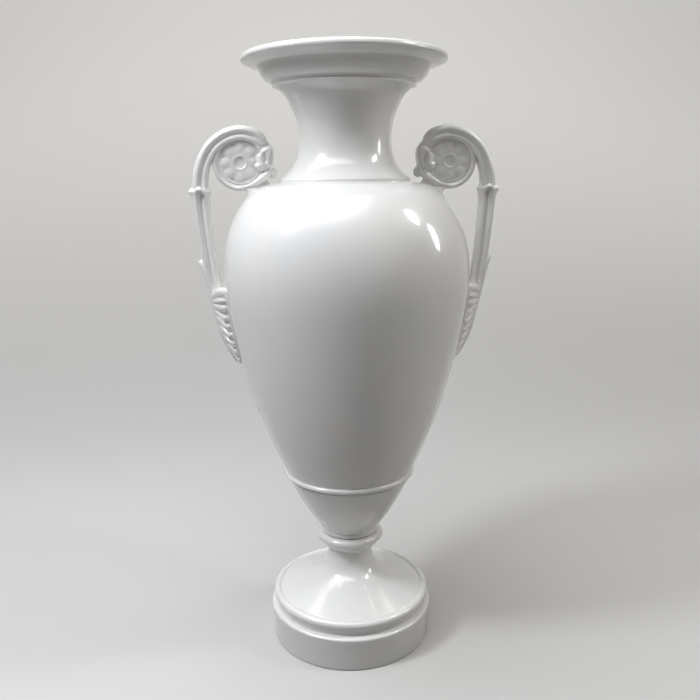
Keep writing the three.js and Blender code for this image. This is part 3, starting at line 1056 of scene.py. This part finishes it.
@dataclass
class VoluteHandle:
    """One handle: a fluted stalk on a leaf root, a calyx, and an arch curled round a disc with rosettes."""

    side: Side
    shop: Workshop
    disc_x: float = 85.0
    disc_z: float = 419.0
    disc_radius: float = 22.1
    face: float = 2.9
    rosette_radius: float = 15.2
    calyx_foot: float = 382.5
    calyx_rim: float = 397.1
    bead_x: float = 59.4
    bead_z: float = 410.6
    bead_radius: float = 3.8
    bead_rise: float = 4.5
    stem_flute: Flute = Flute(0.55, 0.29)
    arch_flute: Flute = Flute(0.34, 0.28, -0.09, 0.55, 0.15)
    petals: int = 8
    crease: float = 0.5
    ribs: int = 9
    leaf_top: float = 318.6
    leaf_tip: float = 252.5
    top_round: float = 3.6

    def stem(self) -> bpy.types.Object:
        """Makes the stalk from the root up to the calyx.

        Returns:
            The piece.
        """
        stations = [
            (106.9, 300, 9, 8), (108.9, 309, 11.7, 10.9), (111.4, 327, 12.3, 11.4), (113.7, 345, 12.6, 11.8),
            (115.5, 363, 13.2, 12), (117.25, 385.2, 13.95, 12.65), (117.5, 388.6, 13.9, 12.6),
            (117.7, 392, 13, 11.8),
        ]
        return self.own(skin("stem", stalk(stations, 80, self.stem_flute)))

    def scroll_arch(self) -> bpy.types.Object:
        """Makes the arch that curls over the disc.

        Returns:
            The piece.
        """
        stations = [
            (117.7, 395.6, 13, 12), (117.4, 405, 12.8, 12), (115.6, 414.8, 12.4, 12.4), (112, 424, 12, 12.8),
            (105.8, 432.6, 11.8, 13.4), (96.3, 439.3, 11.8, 14), (85.2, 442.2, 12, 14.4),
            (76, 440.9, 12, 14.2), (69.6, 437.8, 11, 13.2), (66.6, 433.6, 8.6, 11.2), (65.2, 430, 6, 8),
        ]
        return self.own(skin("scroll_arch", stalk(stations, 120, self.arch_flute)))

    def calyx_collar(self) -> bpy.types.Object:
        """Makes the calyx: two horns in the handle's plane, a lobe over each flute, and a soft slope up to the arch.

        Returns:
            The piece.
        """
        count = 192
        angle = np.linspace(0, 2 * math.pi, count, endpoint=False)
        horn = np.exp(-(((np.abs(np.cos(angle)) - 1) / 0.13) ** 2))
        lobe = np.exp(-((np.abs(np.cos(angle) - 0.05) / 0.36) ** 2.5))
        flare = (1.8 + 0.35 * np.sign(np.cos(angle))) * horn + 1.5 * lobe + 0.3
        rim = self.calyx_rim - 0.4 + 1.9 * lobe
        foot = self.calyx_foot
        rings = []
        for t in np.linspace(0, 1, 56):
            hooded = np.clip((t - 0.74) / 0.2, 0, 1)
            hooded = hooded**2 * (3 - 2 * hooded)
            stem = self.stem_flute
            flute = replace(stem, depth=stem.depth * (1 - hooded), half_width=stem.half_width * (1 - 0.5 * hooded))
            sunk = 0.5 * np.clip(1 - t / 0.3, 0, 1) ** 2
            section = fluted_outline(13.8 + 0.75 * t - sunk, 12.5 + 1.3 * t - sunk, flute, count)
            outwards = section / np.linalg.norm(section, axis=1)[:, None]
            u, v = (section + outwards * (flare * t**4)[:, None]).T
            rings.append(np.column_stack([117.1 + 0.7 * t + u, v, foot + (rim - foot) * t]))
        slope = 2.2 + 1.8 * horn
        for t in np.linspace(0.08, 1, 14):
            u, v = (section + outwards * (flare - (flare + 1.2) * t)[:, None]).T
            rings.append(np.column_stack([117.8 + u, v, rim + slope * (0.35 * np.sin(math.pi * t) + t**1.4)]))
        return self.own(skin("calyx_collar", np.array(rings)))

    def sheath_leaf(self) -> bpy.types.Object:
        """Makes the pointed leaf that clasps the stalk and ends in the root's spine.

        Returns:
            The piece.
        """
        rows = [
            (107.5, 300, 1, 1.6, 0), (110.8, 309, 2.8, 3.2, 0), (113.2, 316, 3.2, 4.3, 0), (114.8, 325, 3.5, 4.9, 0),
            (116.3, 333, 4, 4.8, 0), (117.8, 338, 4.2, 4, 0.6), (119.1, 341.4, 3.9, 2.3, 2.2), (119.5, 342.3, 3.3, 1.2, 3),
        ]
        angle = np.linspace(0, 2 * math.pi, 64, endpoint=False)
        u = np.cos(angle)
        rings = [
            np.column_stack([x + reach * u, half * np.sin(angle), z + tilt * (0.25 - u) / 1.25])
            for x, z, reach, half, tilt in smooth_line(rows, 60)
        ]
        return self.own(skin("sheath_leaf", np.array(rings)))

    def root_leaf(self) -> bpy.types.Object:
        """Makes the broad leaf on the body: plump ribs between a smooth spine and a thin rim.

        Returns:
            The piece.
        """
        section = [
            (1, 0, 0, 0, 0), (0.98, 0.07, 0, 0, 0), (0.92, 0.11, 0, 0.3, 0), (0.86, 0.14, 0.4, 0.45, 0),
            (0.8, 0.18, 0.85, 0.5, 0), (0.73, 0.24, 1, 0.42, 0), (0.6, 0.33, 0.85, 0.26, 0), (0.45, 0.47, 0.62, 0.14, 0.06),
            (0.33, 0.6, 0.48, 0.08, 0.38), (0.23, 0.72, 0.34, 0.05, 0.78), (0.16, 0.84, 0.1, 0, 1),
            (0.1, 0.94, 0, 0, 1), (0, 1, 0, 0, 1),
        ]
        fine = np.clip(smooth_line(section, 72), 0, 1)
        heights = self.leaf_top - (self.leaf_top - self.leaf_tip) * np.linspace(0, 1, 300) ** 1.2
        return self.own(skin("root_leaf", np.array([self.root_ring(fine, height) for height in heights])))

    def root_ring(self, section: np.ndarray, height: float) -> np.ndarray:
        """Draws one ring of the root leaf.

        Args:
            section: Rows of place across, relief, depth and width of the grooves, and rise of the ribs.
            height: The height of the ring at the spine before its ribs rise.

        Returns:
            The ring's points.
        """
        down = (self.leaf_top - height) / (self.leaf_top - self.leaf_tip)
        half = 25 * math.sqrt(max(1 - down**2.2, 0)) + 1.2
        rise = 26 * down - 5 if down < 0.5 else 8 - 9.6 * (down - 0.5)
        across, out, swell, wide, risen = section.T
        y = half * across
        rake = np.interp(down, (0, 0.11, 0.22, 0.35, 1), (0.12, 0.05, 0.22, 0.27, 0.3))
        z = height + rise * risen * min(1, 0.7 + 4 * down) + rake * y
        radius = body_radius(z)
        crest = 115.9 - 0.238 * (312 - z) - 0.0135 * np.clip(283 - z, 0, None) ** 1.85
        x = np.sqrt(radius**2 - y**2) + (crest - radius) * out
        along_ribs = down * (self.ribs + 0.2) - 0.35 * np.clip((down - 0.2) * 5, 0, 1)
        from_groove = 2 * min(along_ribs % 1, 1 - along_ribs % 1)
        roll = np.clip((from_groove - wide) / (1 - wide), 0, 1)
        depth = (3.3 - 1.3 * down) * swell * np.clip((down - 0.1) * 8, 0.3, 1)
        bulge = depth * (1.25 * np.sqrt(1 - (1 - roll) ** 2) - 0.85)
        if along_ribs < 0.5:
            bulge = 0.4 * depth - self.top_round * (1 - math.sqrt(1 - (1 - from_groove) ** 2))
        along = np.gradient(np.column_stack([x, y]), axis=0)
        along /= np.linalg.norm(along, axis=1)[:, None]
        x = x + along[:, 1] * -bulge
        y = np.clip(y + along[:, 0] * bulge, 0, None)
        near = np.column_stack([x, y, z])
        far = near[-2::-1] * [1, -1, 1]
        buried = 0.93 * body_radius(height)
        back = [[buried, -0.8 * half, z[0]], [buried, 0.8 * half, z[0]]]
        return np.vstack([near, far, back])

    def volute_disc(self) -> bpy.types.Object:
        """Makes the moulded disc: a soft rim roll, a groove and a dished field on both faces.

        Returns:
            The piece.
        """
        edge = [
            (0.5, 0.3), (3.6, 0.4), (4.4, 1.2), (5, 2.4), (8, 2.7), (14, 2.75), (15.2, 2.8), (15.9, 3.05), (16.6, 3.1),
            (17.3, 2.75), (18, 2.9), (18.8, 3.7), (20, 4.3), (21.2, 3.8), (21.8, 2.8), (self.disc_radius, 1.6),
        ]
        near = smooth_line(edge, 80)
        outline = np.vstack([near, near[::-1] * [1, -1]])
        angle = np.linspace(0, 2 * math.pi, 160, endpoint=False)
        rings = [
            np.column_stack([self.disc_x + r * np.cos(angle), np.full(160, h), self.disc_z + r * np.sin(angle)])
            for r, h in outline
        ]
        return self.own(skin("volute_disc", np.array(rings)))

    def rosette(self, facing: int) -> bpy.types.Object:
        """Makes a rosette in low relief round a sunken eye, its hollows half filled by the glaze.

        Args:
            facing: The direction of Y that it looks in.

        Returns:
            The piece.
        """
        rows = [
            (1.04, -0.8), (1.03, -0.5), (0.99, -0.15), (0.93, 0.2), (0.86, 0.5), (0.77, 0.78), (0.65, 0.85),
            (0.53, 0.72), (0.44, 0.66), (0.39, 0.82), (0.345, 0.85), (0.3, 0.5), (0.265, -0.3), (0.21, -1.2),
            (0.12, -1.75), (0.01, -1.9),
        ]
        steps = 25
        turn = np.linspace(-math.pi, math.pi, steps)
        angle = turn / self.petals
        petal = (0.5 + 0.5 * np.cos(turn)) ** 0.55
        rings = []
        for share, height in smooth_line(rows, 70):
            leafy = np.clip((share - 0.5) / 0.2, 0, 1)
            r = self.rosette_radius * share * (1 - 0.09 * leafy * (1 - petal))
            lift = height + 0.45 * share**2 - self.crease * leafy * (1 - petal) * (share < 1)
            rings.append(np.column_stack([r * np.cos(angle), r * np.sin(angle), lift]))
        hubs = [(0, 0, rings[0][0, 2]), (0, 0, rings[-1][0, 2])]
        points = np.vstack([*rings, hubs])
        faces: list[tuple[int, ...]] = []
        for base in range(0, (len(rings) - 1) * steps, steps):
            faces += [(base + k, base + k + 1, base + steps + k + 1, base + steps + k) for k in range(steps - 1)]
        for first, hub in ((0, len(points) - 2), ((len(rings) - 1) * steps, len(points) - 1)):
            faces += [(first + k, first + k + 1, hub) for k in range(steps - 1)]
        sector = new_object("rosette_front" if facing < 0 else "rosette_back", points, faces)
        sizes = {
            "Petals": self.petals,
            "Turn": (-facing * math.pi / 2, 0, 0),
            "Centre": Vector((self.disc_x, facing * self.face, self.disc_z)) * MM,
            "Finish": self.shop.finishes[Slot.PORCELAIN],
        }
        return self.own(grow(sector, self.shop.petals, sizes))

    def curl_leaf(self) -> bpy.types.Object:
        """Makes the folded leaf that ends the curl, with a raised fold, a hollow and a tail along the disc.

        Returns:
            The piece.
        """
        core = [
            (68.2, 436.6, 5.6, 8), (66.4, 434.2, 7.8, 10.6), (64.8, 431, 9.4, 12.2), (63.4, 427.4, 11.6, 12.6),
            (63, 423.4, 11.4, 12.6), (62.9, 419.4, 10.4, 12), (62.6, 415.4, 8.6, 10.4), (62.6, 411.4, 5.8, 7.6),
            (64.4, 408.2, 3.6, 5),
        ]
        lobe = [(67.8, 0, 424.6, 5.4), (67.9, 0, 420.4, 5.8), (68.9, 0, 416.4, 6), (70, 0, 413.4, 4.8)]
        shapes = [stalk(core, 60, Flute(0, 0.3, 0), 48), bar(lobe, 30)]
        for face in (-1, 1):
            tail = [(62.6, 2.4, 411.4, 2.6), (65.4, 3, 408.2, 2.8), (71.6, 3.7, 404.2, 2.3), (77.8, 3.6, 401, 1.7)]
            tail += [(84, 3.3, 399.8, 1.1), (89, 3, 400.2, 0.7)]
            shapes.append(bar([(x, face * y, z, r) for x, y, z, r in tail], 60))
        piece = fuse("curl_leaf", shapes, 0.35, 10)
        emboss(piece, CURL_RELIEF, 1.5)
        return self.own(piece)

    def curl_bead(self) -> bpy.types.Object:
        """Makes the small ball at the leaf's tip.

        Returns:
            The piece.
        """
        polar = np.linspace(0.02, math.pi - 0.02, 28)
        line = [
            (self.bead_x, 0, self.bead_z + 0.4 + self.bead_rise * math.cos(p), self.bead_radius * math.sin(p))
            for p in polar
        ]
        return self.own(skin("curl_bead", level_rings(line, 48)))

    def shoulder_strut(self) -> bpy.types.Object:
        """Makes the post between disc and shoulder.

        Returns:
            The piece.
        """
        rows = [
            (386, 65, 82.4, 8.4), (390, 62.4, 81, 7.7), (394, 61, 80.2, 6.4), (397.5, 60.5, 82, 5.2),
            (399.5, 60.7, 82.4, 4.4), (402.3, 61.5, 80, 3.6), (405, 63.5, 77, 3), (409, 64.1, 74, 2.4), (412, 66, 72, 2),
        ]
        angle = np.linspace(0, 2 * math.pi, 64, endpoint=False)
        round_u = np.sign(np.cos(angle)) * np.abs(np.cos(angle)) ** 0.6
        round_v = np.sign(np.sin(angle)) * np.abs(np.sin(angle)) ** 0.6
        rings = [
            np.column_stack([(low + high) / 2 + (high - low) / 2 * round_u, half * round_v, np.full(64, z)])
            for z, low, high, half in smooth_line(rows, 40)
        ]
        return self.own(skin("shoulder_strut", np.array(rings)))

    def own(self, piece: bpy.types.Object) -> bpy.types.Object:
        """Turns a piece to this handle's side and names it for the side.

        Args:
            piece: A piece drawn on the +X side.

        Returns:
            The same piece.
        """
        if self.side is Side.LEFT:
            piece.data.transform(Matrix.Rotation(math.pi, 4, "Z"))
        piece.name = f"{self.side.name.lower()}_{piece.name}_glazed"
        return piece

    def build(self) -> dict[str, bpy.types.Object]:
        """Makes the handle.

        Returns:
            CAD node name to object.
        """
        makers: dict[str, Callable[[], bpy.types.Object]] = {
            "root_leaf": self.root_leaf,
            "stem": self.stem,
            "sheath_leaf": self.sheath_leaf,
            "calyx_collar": self.calyx_collar,
            "scroll_arch": self.scroll_arch,
            "volute_disc": self.volute_disc,
            "rosette_front": lambda: self.rosette(-1),
            "rosette_back": lambda: self.rosette(1),
            "curl_leaf": self.curl_leaf,
            "curl_bead": self.curl_bead,
            "shoulder_strut": self.shoulder_strut,
        }
        return {f"{self.side.name.lower()}_{name}": make() for name, make in makers.items()}

    def dress(self, pieces: dict[str, bpy.types.Object]) -> None:
        """Gives every piece its finish and its place in the frame.

        Args:
            pieces: CAD node name to object.
        """
        for node, piece in pieces.items():
            hand_over(piece, node, Slot.PORCELAIN, self.shop)


# Fittings of the joint through the foot


@dataclass
class RodFittings:
    """The rod, nut, washers and soft discs that clamp the foot to the vase."""

    shop: Workshop
    rod_radius: float = 3.0
    rod_foot: float = 47.0
    thread_top: float = 65.0
    thread_depth: float = 0.35
    pitch: float = 1.0
    across_flats: float = 10.0
    hex_height: float = 5.0
    hex_bore: float = 3.15
    clear: float = 3.3
    gasket_bore: float = 9.0
    seal: float = 2.0
    washer: float = 1.5
    cut_edge: float = 0.25
    fine_steps: int = 96

    def hex_ring(self, z: float, inset: float, count: int) -> np.ndarray:
        """Draws one level ring of a hexagon whose corners are cut by a cone.

        Args:
            z: The ring's height.
            inset: Its distance from the hexagon's nearer face.
            count: The number of points.

        Returns:
            The ring's points.
        """
        angle = np.linspace(0, 2 * math.pi, count, endpoint=False)
        flat = self.across_flats / 2
        hexagon = flat / np.cos((angle + math.pi / 6) % (math.pi / 3) - math.pi / 6)
        r = np.minimum(hexagon, flat - 0.1 + 1.73 * inset)
        return np.column_stack([r * np.cos(angle), r * np.sin(angle), np.full(count, z)])

    def nut(self, bottom: float) -> bpy.types.Object:
        """Makes the chamfered nut.

        Args:
            bottom: Its lower face's height.

        Returns:
            The piece.
        """
        count = 144
        top = bottom + self.hex_height
        bore_low, bore_high = level_rings([(0, 0, bottom, self.hex_bore), (0, 0, top, self.hex_bore)], count)
        sides = [self.hex_ring(z, min(z - bottom, top - z), count) for z in (bottom, bottom + 0.5, top - 0.5, top)]
        rings = np.array([bore_low, *sides, bore_high])
        return new_object("hex_nut_turned", rings.reshape(-1, 3), ring_faces(len(rings), count, wraps=True))

    def ring(self, name: str, slot: Slot, outer: float, bottom: float, top: float) -> bpy.types.Object:
        """Makes a washer or a soft disc.

        Args:
            name: The object's name.
            slot: Its material slot.
            outer: The outer radius.
            bottom: The lower face's height.
            top: The upper face's height.

        Returns:
            The piece.
        """
        inner = self.gasket_bore if slot is Slot.CORK else self.clear
        outline = np.array([(inner, bottom), (outer, bottom), (outer, top), (inner, top)], float)
        return self.shop.turn(name, outline, self.fine_steps, slot, self.cut_edge)

    def rod(self) -> bpy.types.Object:
        """Makes the rod with its hexagon head, and winds the thread round its lower end.

        Returns:
            The piece.
        """
        head = BOWL_FLOOR + self.seal + self.washer
        core = self.rod_radius - self.thread_depth
        count = self.fine_steps
        line = [
            (0, 0, self.rod_foot, core - 0.6), (0, 0, self.rod_foot + 0.6, core), (0, 0, self.thread_top, core),
            (0, 0, self.thread_top + 0.4, self.rod_radius), (0, 0, head, self.rod_radius),
        ]
        rise = self.hex_height
        top = [self.hex_ring(head + z, inset, count) for z, inset in ((0, 1), (rise - 0.5, 0.5), (rise, 0))]
        shaft = skin("tie_rod_turned", np.array([*level_rings(line, count), *top]))
        length = self.thread_top - self.rod_foot - 1.2
        sizes = {
            "Turns": length / self.pitch,
            "Radius": core * MM,
            "Ridge": self.thread_depth * MM,
            "Length": length * MM,
            "Start": Vector((0, 0, self.rod_foot + 0.8)) * MM,
            "Finish": self.shop.finishes[Slot.BRASS],
        }
        return grow(shaft, self.shop.thread, sizes)

    def build(self) -> dict[str, tuple[bpy.types.Object, Slot]]:
        """Makes the fittings.

        Returns:
            CAD node name to object and slot.
        """
        washer_low = BOWL_FLOOR + self.seal
        base_low = FOOT_WEB - self.seal
        nut_top = base_low - self.washer
        rings = {
            "upper_seal": ("upper_seal_cut", Slot.RUBBER, 14, BOWL_FLOOR, washer_low),
            "upper_washer": ("upper_washer_punched", Slot.STEEL, 13, washer_low, washer_low + self.washer),
            "knop_gasket": ("knop_gasket_cut", Slot.CORK, 24.6, FOOT_TOP, BOWL_BOTTOM),
            "base_seal": ("base_seal_cut", Slot.RUBBER, 16.5, base_low, FOOT_WEB),
            "base_washer": ("base_washer_punched", Slot.STEEL, 15, nut_top, base_low),
        }
        pieces = {node: (self.ring(*sizes), sizes[1]) for node, sizes in rings.items()}
        pieces["tie_rod"] = (self.rod(), Slot.BRASS)
        pieces["hex_nut"] = (self.nut(nut_top - self.hex_height), Slot.BRASS)
        return pieces

    def dress(self, pieces: dict[str, tuple[bpy.types.Object, Slot]]) -> None:
        """Gives every fitting its finish and its place in the frame.

        Args:
            pieces: CAD node name to object and slot.
        """
        for node, (piece, slot) in pieces.items():
            hand_over(piece, node, slot, self.shop)


# Studio


@dataclass(frozen=True)
class Softbox:
    """A soft box whose glow fades towards its edges, as a lamp behind a diffuser does."""

    name: str
    at: tuple[float, float, float]
    target: tuple[float, float, float]
    width: float
    height: float
    watts: float
    tint: str = "#ffffff"
    plain: float = 0.25

    def build(self) -> None:
        """Makes the lamp."""
        data = bpy.data.lights.new(self.name, "AREA")
        data.shape = "RECTANGLE"
        data.size, data.size_y = self.width, self.height
        data.energy = self.watts
        data.color = linear(self.tint)[:3]
        data.use_nodes = True
        tree = data.node_tree
        glow = next(node for node in tree.nodes if node.type == "EMISSION")
        across = add_node(tree, "ShaderNodeNewGeometry").outputs["Parametric"]
        centred = add_node(tree, "ShaderNodeVectorMath", {0: across, 1: (0.5, 0.5, 0.0)}, operation="DISTANCE")
        fade = add_node(
            tree,
            "ShaderNodeMapRange",
            {"Value": centred.outputs["Value"], "From Min": self.plain, "From Max": 0.5, "To Min": 1.6, "To Max": 0.0},
            interpolation_type="SMOOTHSTEP",
        )
        tree.links.new(fade.outputs["Result"], glow.inputs["Strength"])
        lamp = bpy.data.objects.new(self.name, data)
        lamp.location = self.at
        lamp.rotation_euler = (Vector(self.target) - Vector(self.at)).to_track_quat("-Z", "Y").to_euler()
        bpy.context.scene.collection.objects.link(lamp)


@dataclass(frozen=True)
class Studio:
    """A pale sweep of paper, soft boxes above and beside the vase, and the photo's camera."""

    camera_at: tuple = (-0.0412, -0.6118, 0.4018)
    forward: tuple = (0.0685, 0.9727, -0.2219)
    right: tuple = (0.9973, -0.0728, -0.0112)
    lens_mm: float = 37.58
    sensor_mm: float = 36.0
    paper: str = "#c9c7c4"
    bounce: str = "#757371"
    sky: str = "#f0ece6"
    glow: str = "#e6e4e0"
    far_glow: float = 0.5
    fill: float = 0.08
    backdrop: float = 0.6
    sweep_start: float = 0.5
    sweep_radius: float = 2.4
    sweep_top: float = 4.5
    reach: float = 8.0
    glow_reach: tuple[float, float] = (0.5, 2.6)

    def floor(self) -> None:
        """Makes the sheet that the vase stands on, swept up behind it."""
        turn = np.linspace(0, math.pi / 2, 33)
        line = [(-self.reach, 0.0)]
        line += [
            (self.sweep_start + self.sweep_radius * math.sin(t), self.sweep_radius * (1 - math.cos(t))) for t in turn
        ]
        line.append((self.sweep_start + self.sweep_radius, self.sweep_top))
        points = [(x, y, z) for y, z in line for x in (-self.reach, self.reach)]
        faces = [(2 * k, 2 * k + 1, 2 * k + 3, 2 * k + 2) for k in range(len(line) - 1)]
        mesh = bpy.data.meshes.new("paper_sweep")
        mesh.from_pydata(points, [], faces)
        mesh.shade_smooth()
        sheet = bpy.data.objects.new("paper_sweep", mesh)
        bpy.context.scene.collection.objects.link(sheet)
        material, tree, shader = new_material("paper_matt_rolled")
        seen = self.seen_rays(tree)
        stops = [(0, linear(self.bounce)), (1, linear(self.paper))]
        tree.links.new(ramp(tree, seen, stops), shader.inputs["Base Color"])
        spot = add_node(tree, "ShaderNodeTexCoord").outputs["Object"]
        gone = add_node(tree, "ShaderNodeVectorMath", {0: spot}, operation="LENGTH")
        near, far = self.glow_reach
        far_off = add_node(
            tree,
            "ShaderNodeMapRange",
            {"Value": gone.outputs["Value"], "From Min": near, "From Max": far, "To Max": self.far_glow},
            interpolation_type="SMOOTHSTEP",
        )
        glow = add_node(tree, "ShaderNodeMath", {0: far_off.outputs["Result"], 1: seen}, operation="MULTIPLY")
        tree.links.new(glow.outputs["Value"], shader.inputs["Emission Strength"])
        shader.inputs["Emission Color"].default_value = linear(self.glow)
        shader.inputs["Roughness"].default_value = 0.9
        mesh.materials.append(material)

    def seen_rays(self, tree: bpy.types.NodeTree) -> bpy.types.NodeSocket:
        """Tells the rays that look, straight or through a reflection, from those that carry light.

        Args:
            tree: The node tree that asks.

        Returns:
            One for a ray that looks.
        """
        rays = add_node(tree, "ShaderNodeLightPath").outputs
        mirrored = add_node(
            tree, "ShaderNodeMath", {0: rays["Is Glossy Ray"], 1: rays["Is Transmission Ray"]}, operation="MAXIMUM"
        )
        seen = add_node(
            tree, "ShaderNodeMath", {0: rays["Is Camera Ray"], 1: mirrored.outputs["Value"]}, operation="MAXIMUM"
        )
        return seen.outputs["Value"]

    def world(self) -> None:
        """Sets the pale surroundings: a low fill for the light, a pale room wherever they are seen."""
        world = bpy.data.worlds.new("studio")
        bpy.context.scene.world = world
        world.use_nodes = True
        tree = world.node_tree
        background = tree.nodes["Background"]
        background.inputs["Color"].default_value = linear(self.sky)
        strength = add_node(
            tree,
            "ShaderNodeMapRange",
            {"Value": self.seen_rays(tree), "To Min": self.fill, "To Max": self.backdrop},
        )
        tree.links.new(strength.outputs["Result"], background.inputs["Strength"])

    def camera(self) -> None:
        """Places the camera of the photo."""
        data = bpy.data.cameras.new("photo_camera")
        data.lens = self.lens_mm
        data.sensor_width = self.sensor_mm
        data.clip_start = 0.01
        camera = bpy.data.objects.new("photo_camera", data)
        forward = Vector(self.forward).normalized()
        right = Vector(self.right)
        right = (right - right.dot(forward) * forward).normalized()
        up = right.cross(forward)
        turn = Matrix((right, up, -forward)).transposed().to_4x4()
        camera.matrix_world = Matrix.Translation(self.camera_at) @ turn
        bpy.context.scene.collection.objects.link(camera)
        bpy.context.scene.camera = camera

    def build(self) -> None:
        """Makes the whole studio."""
        self.floor()
        self.world()
        for box in (
            Softbox("top_box", (-0.32, -0.18, 1.45), (0, 0, 0.2), 2.0, 1.7, 26, "#f6f9ff"),
            Softbox("left_window", (-0.76, -0.32, 1.08), (0, 0, 0.3), 0.26, 0.36, 7, "#f6f9ff", 0.4),
            Softbox("right_window", (0.82, -0.21, 1.04), (0, 0, 0.3), 0.18, 0.34, 2.6, "#fffdf8", 0.4),
            Softbox("side_window", (1.48, -0.06, 0.86), (0, 0, 0.3), 0.22, 0.6, 3, "#fffdf8", 0.4),
            Softbox("paper_box", (0, 1.2, 2.4), (0, 2.5, 0.7), 3.5, 1.0, 16),
        ):
            box.build()
        self.camera()
        bpy.context.scene.view_settings.view_transform = "Standard"


def main() -> None:
    """Builds the vase, its fittings and the studio."""
    logging.basicConfig(level=logging.INFO, format="%(name)s: %(message)s")
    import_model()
    finishes = {
        Slot.PORCELAIN: GlazedPorcelain().build(),
        Slot.BRASS: MachinedBrass().build(),
        Slot.STEEL: ZincPlatedSteel().build(),
        Slot.CORK: PressedCork().build(),
        Slot.RUBBER: CutRubber().build(),
    }
    shop = Workshop(finishes, lathe_tree(), petal_tree(), thread_tree())
    handles = (VoluteHandle(Side.RIGHT, shop), VoluteHandle(Side.LEFT, shop))
    for group in (TurnedMembers(shop), *handles, RodFittings(shop)):
        group.dress(group.build())
    Studio().build()


if __name__ == "__main__":
    main()
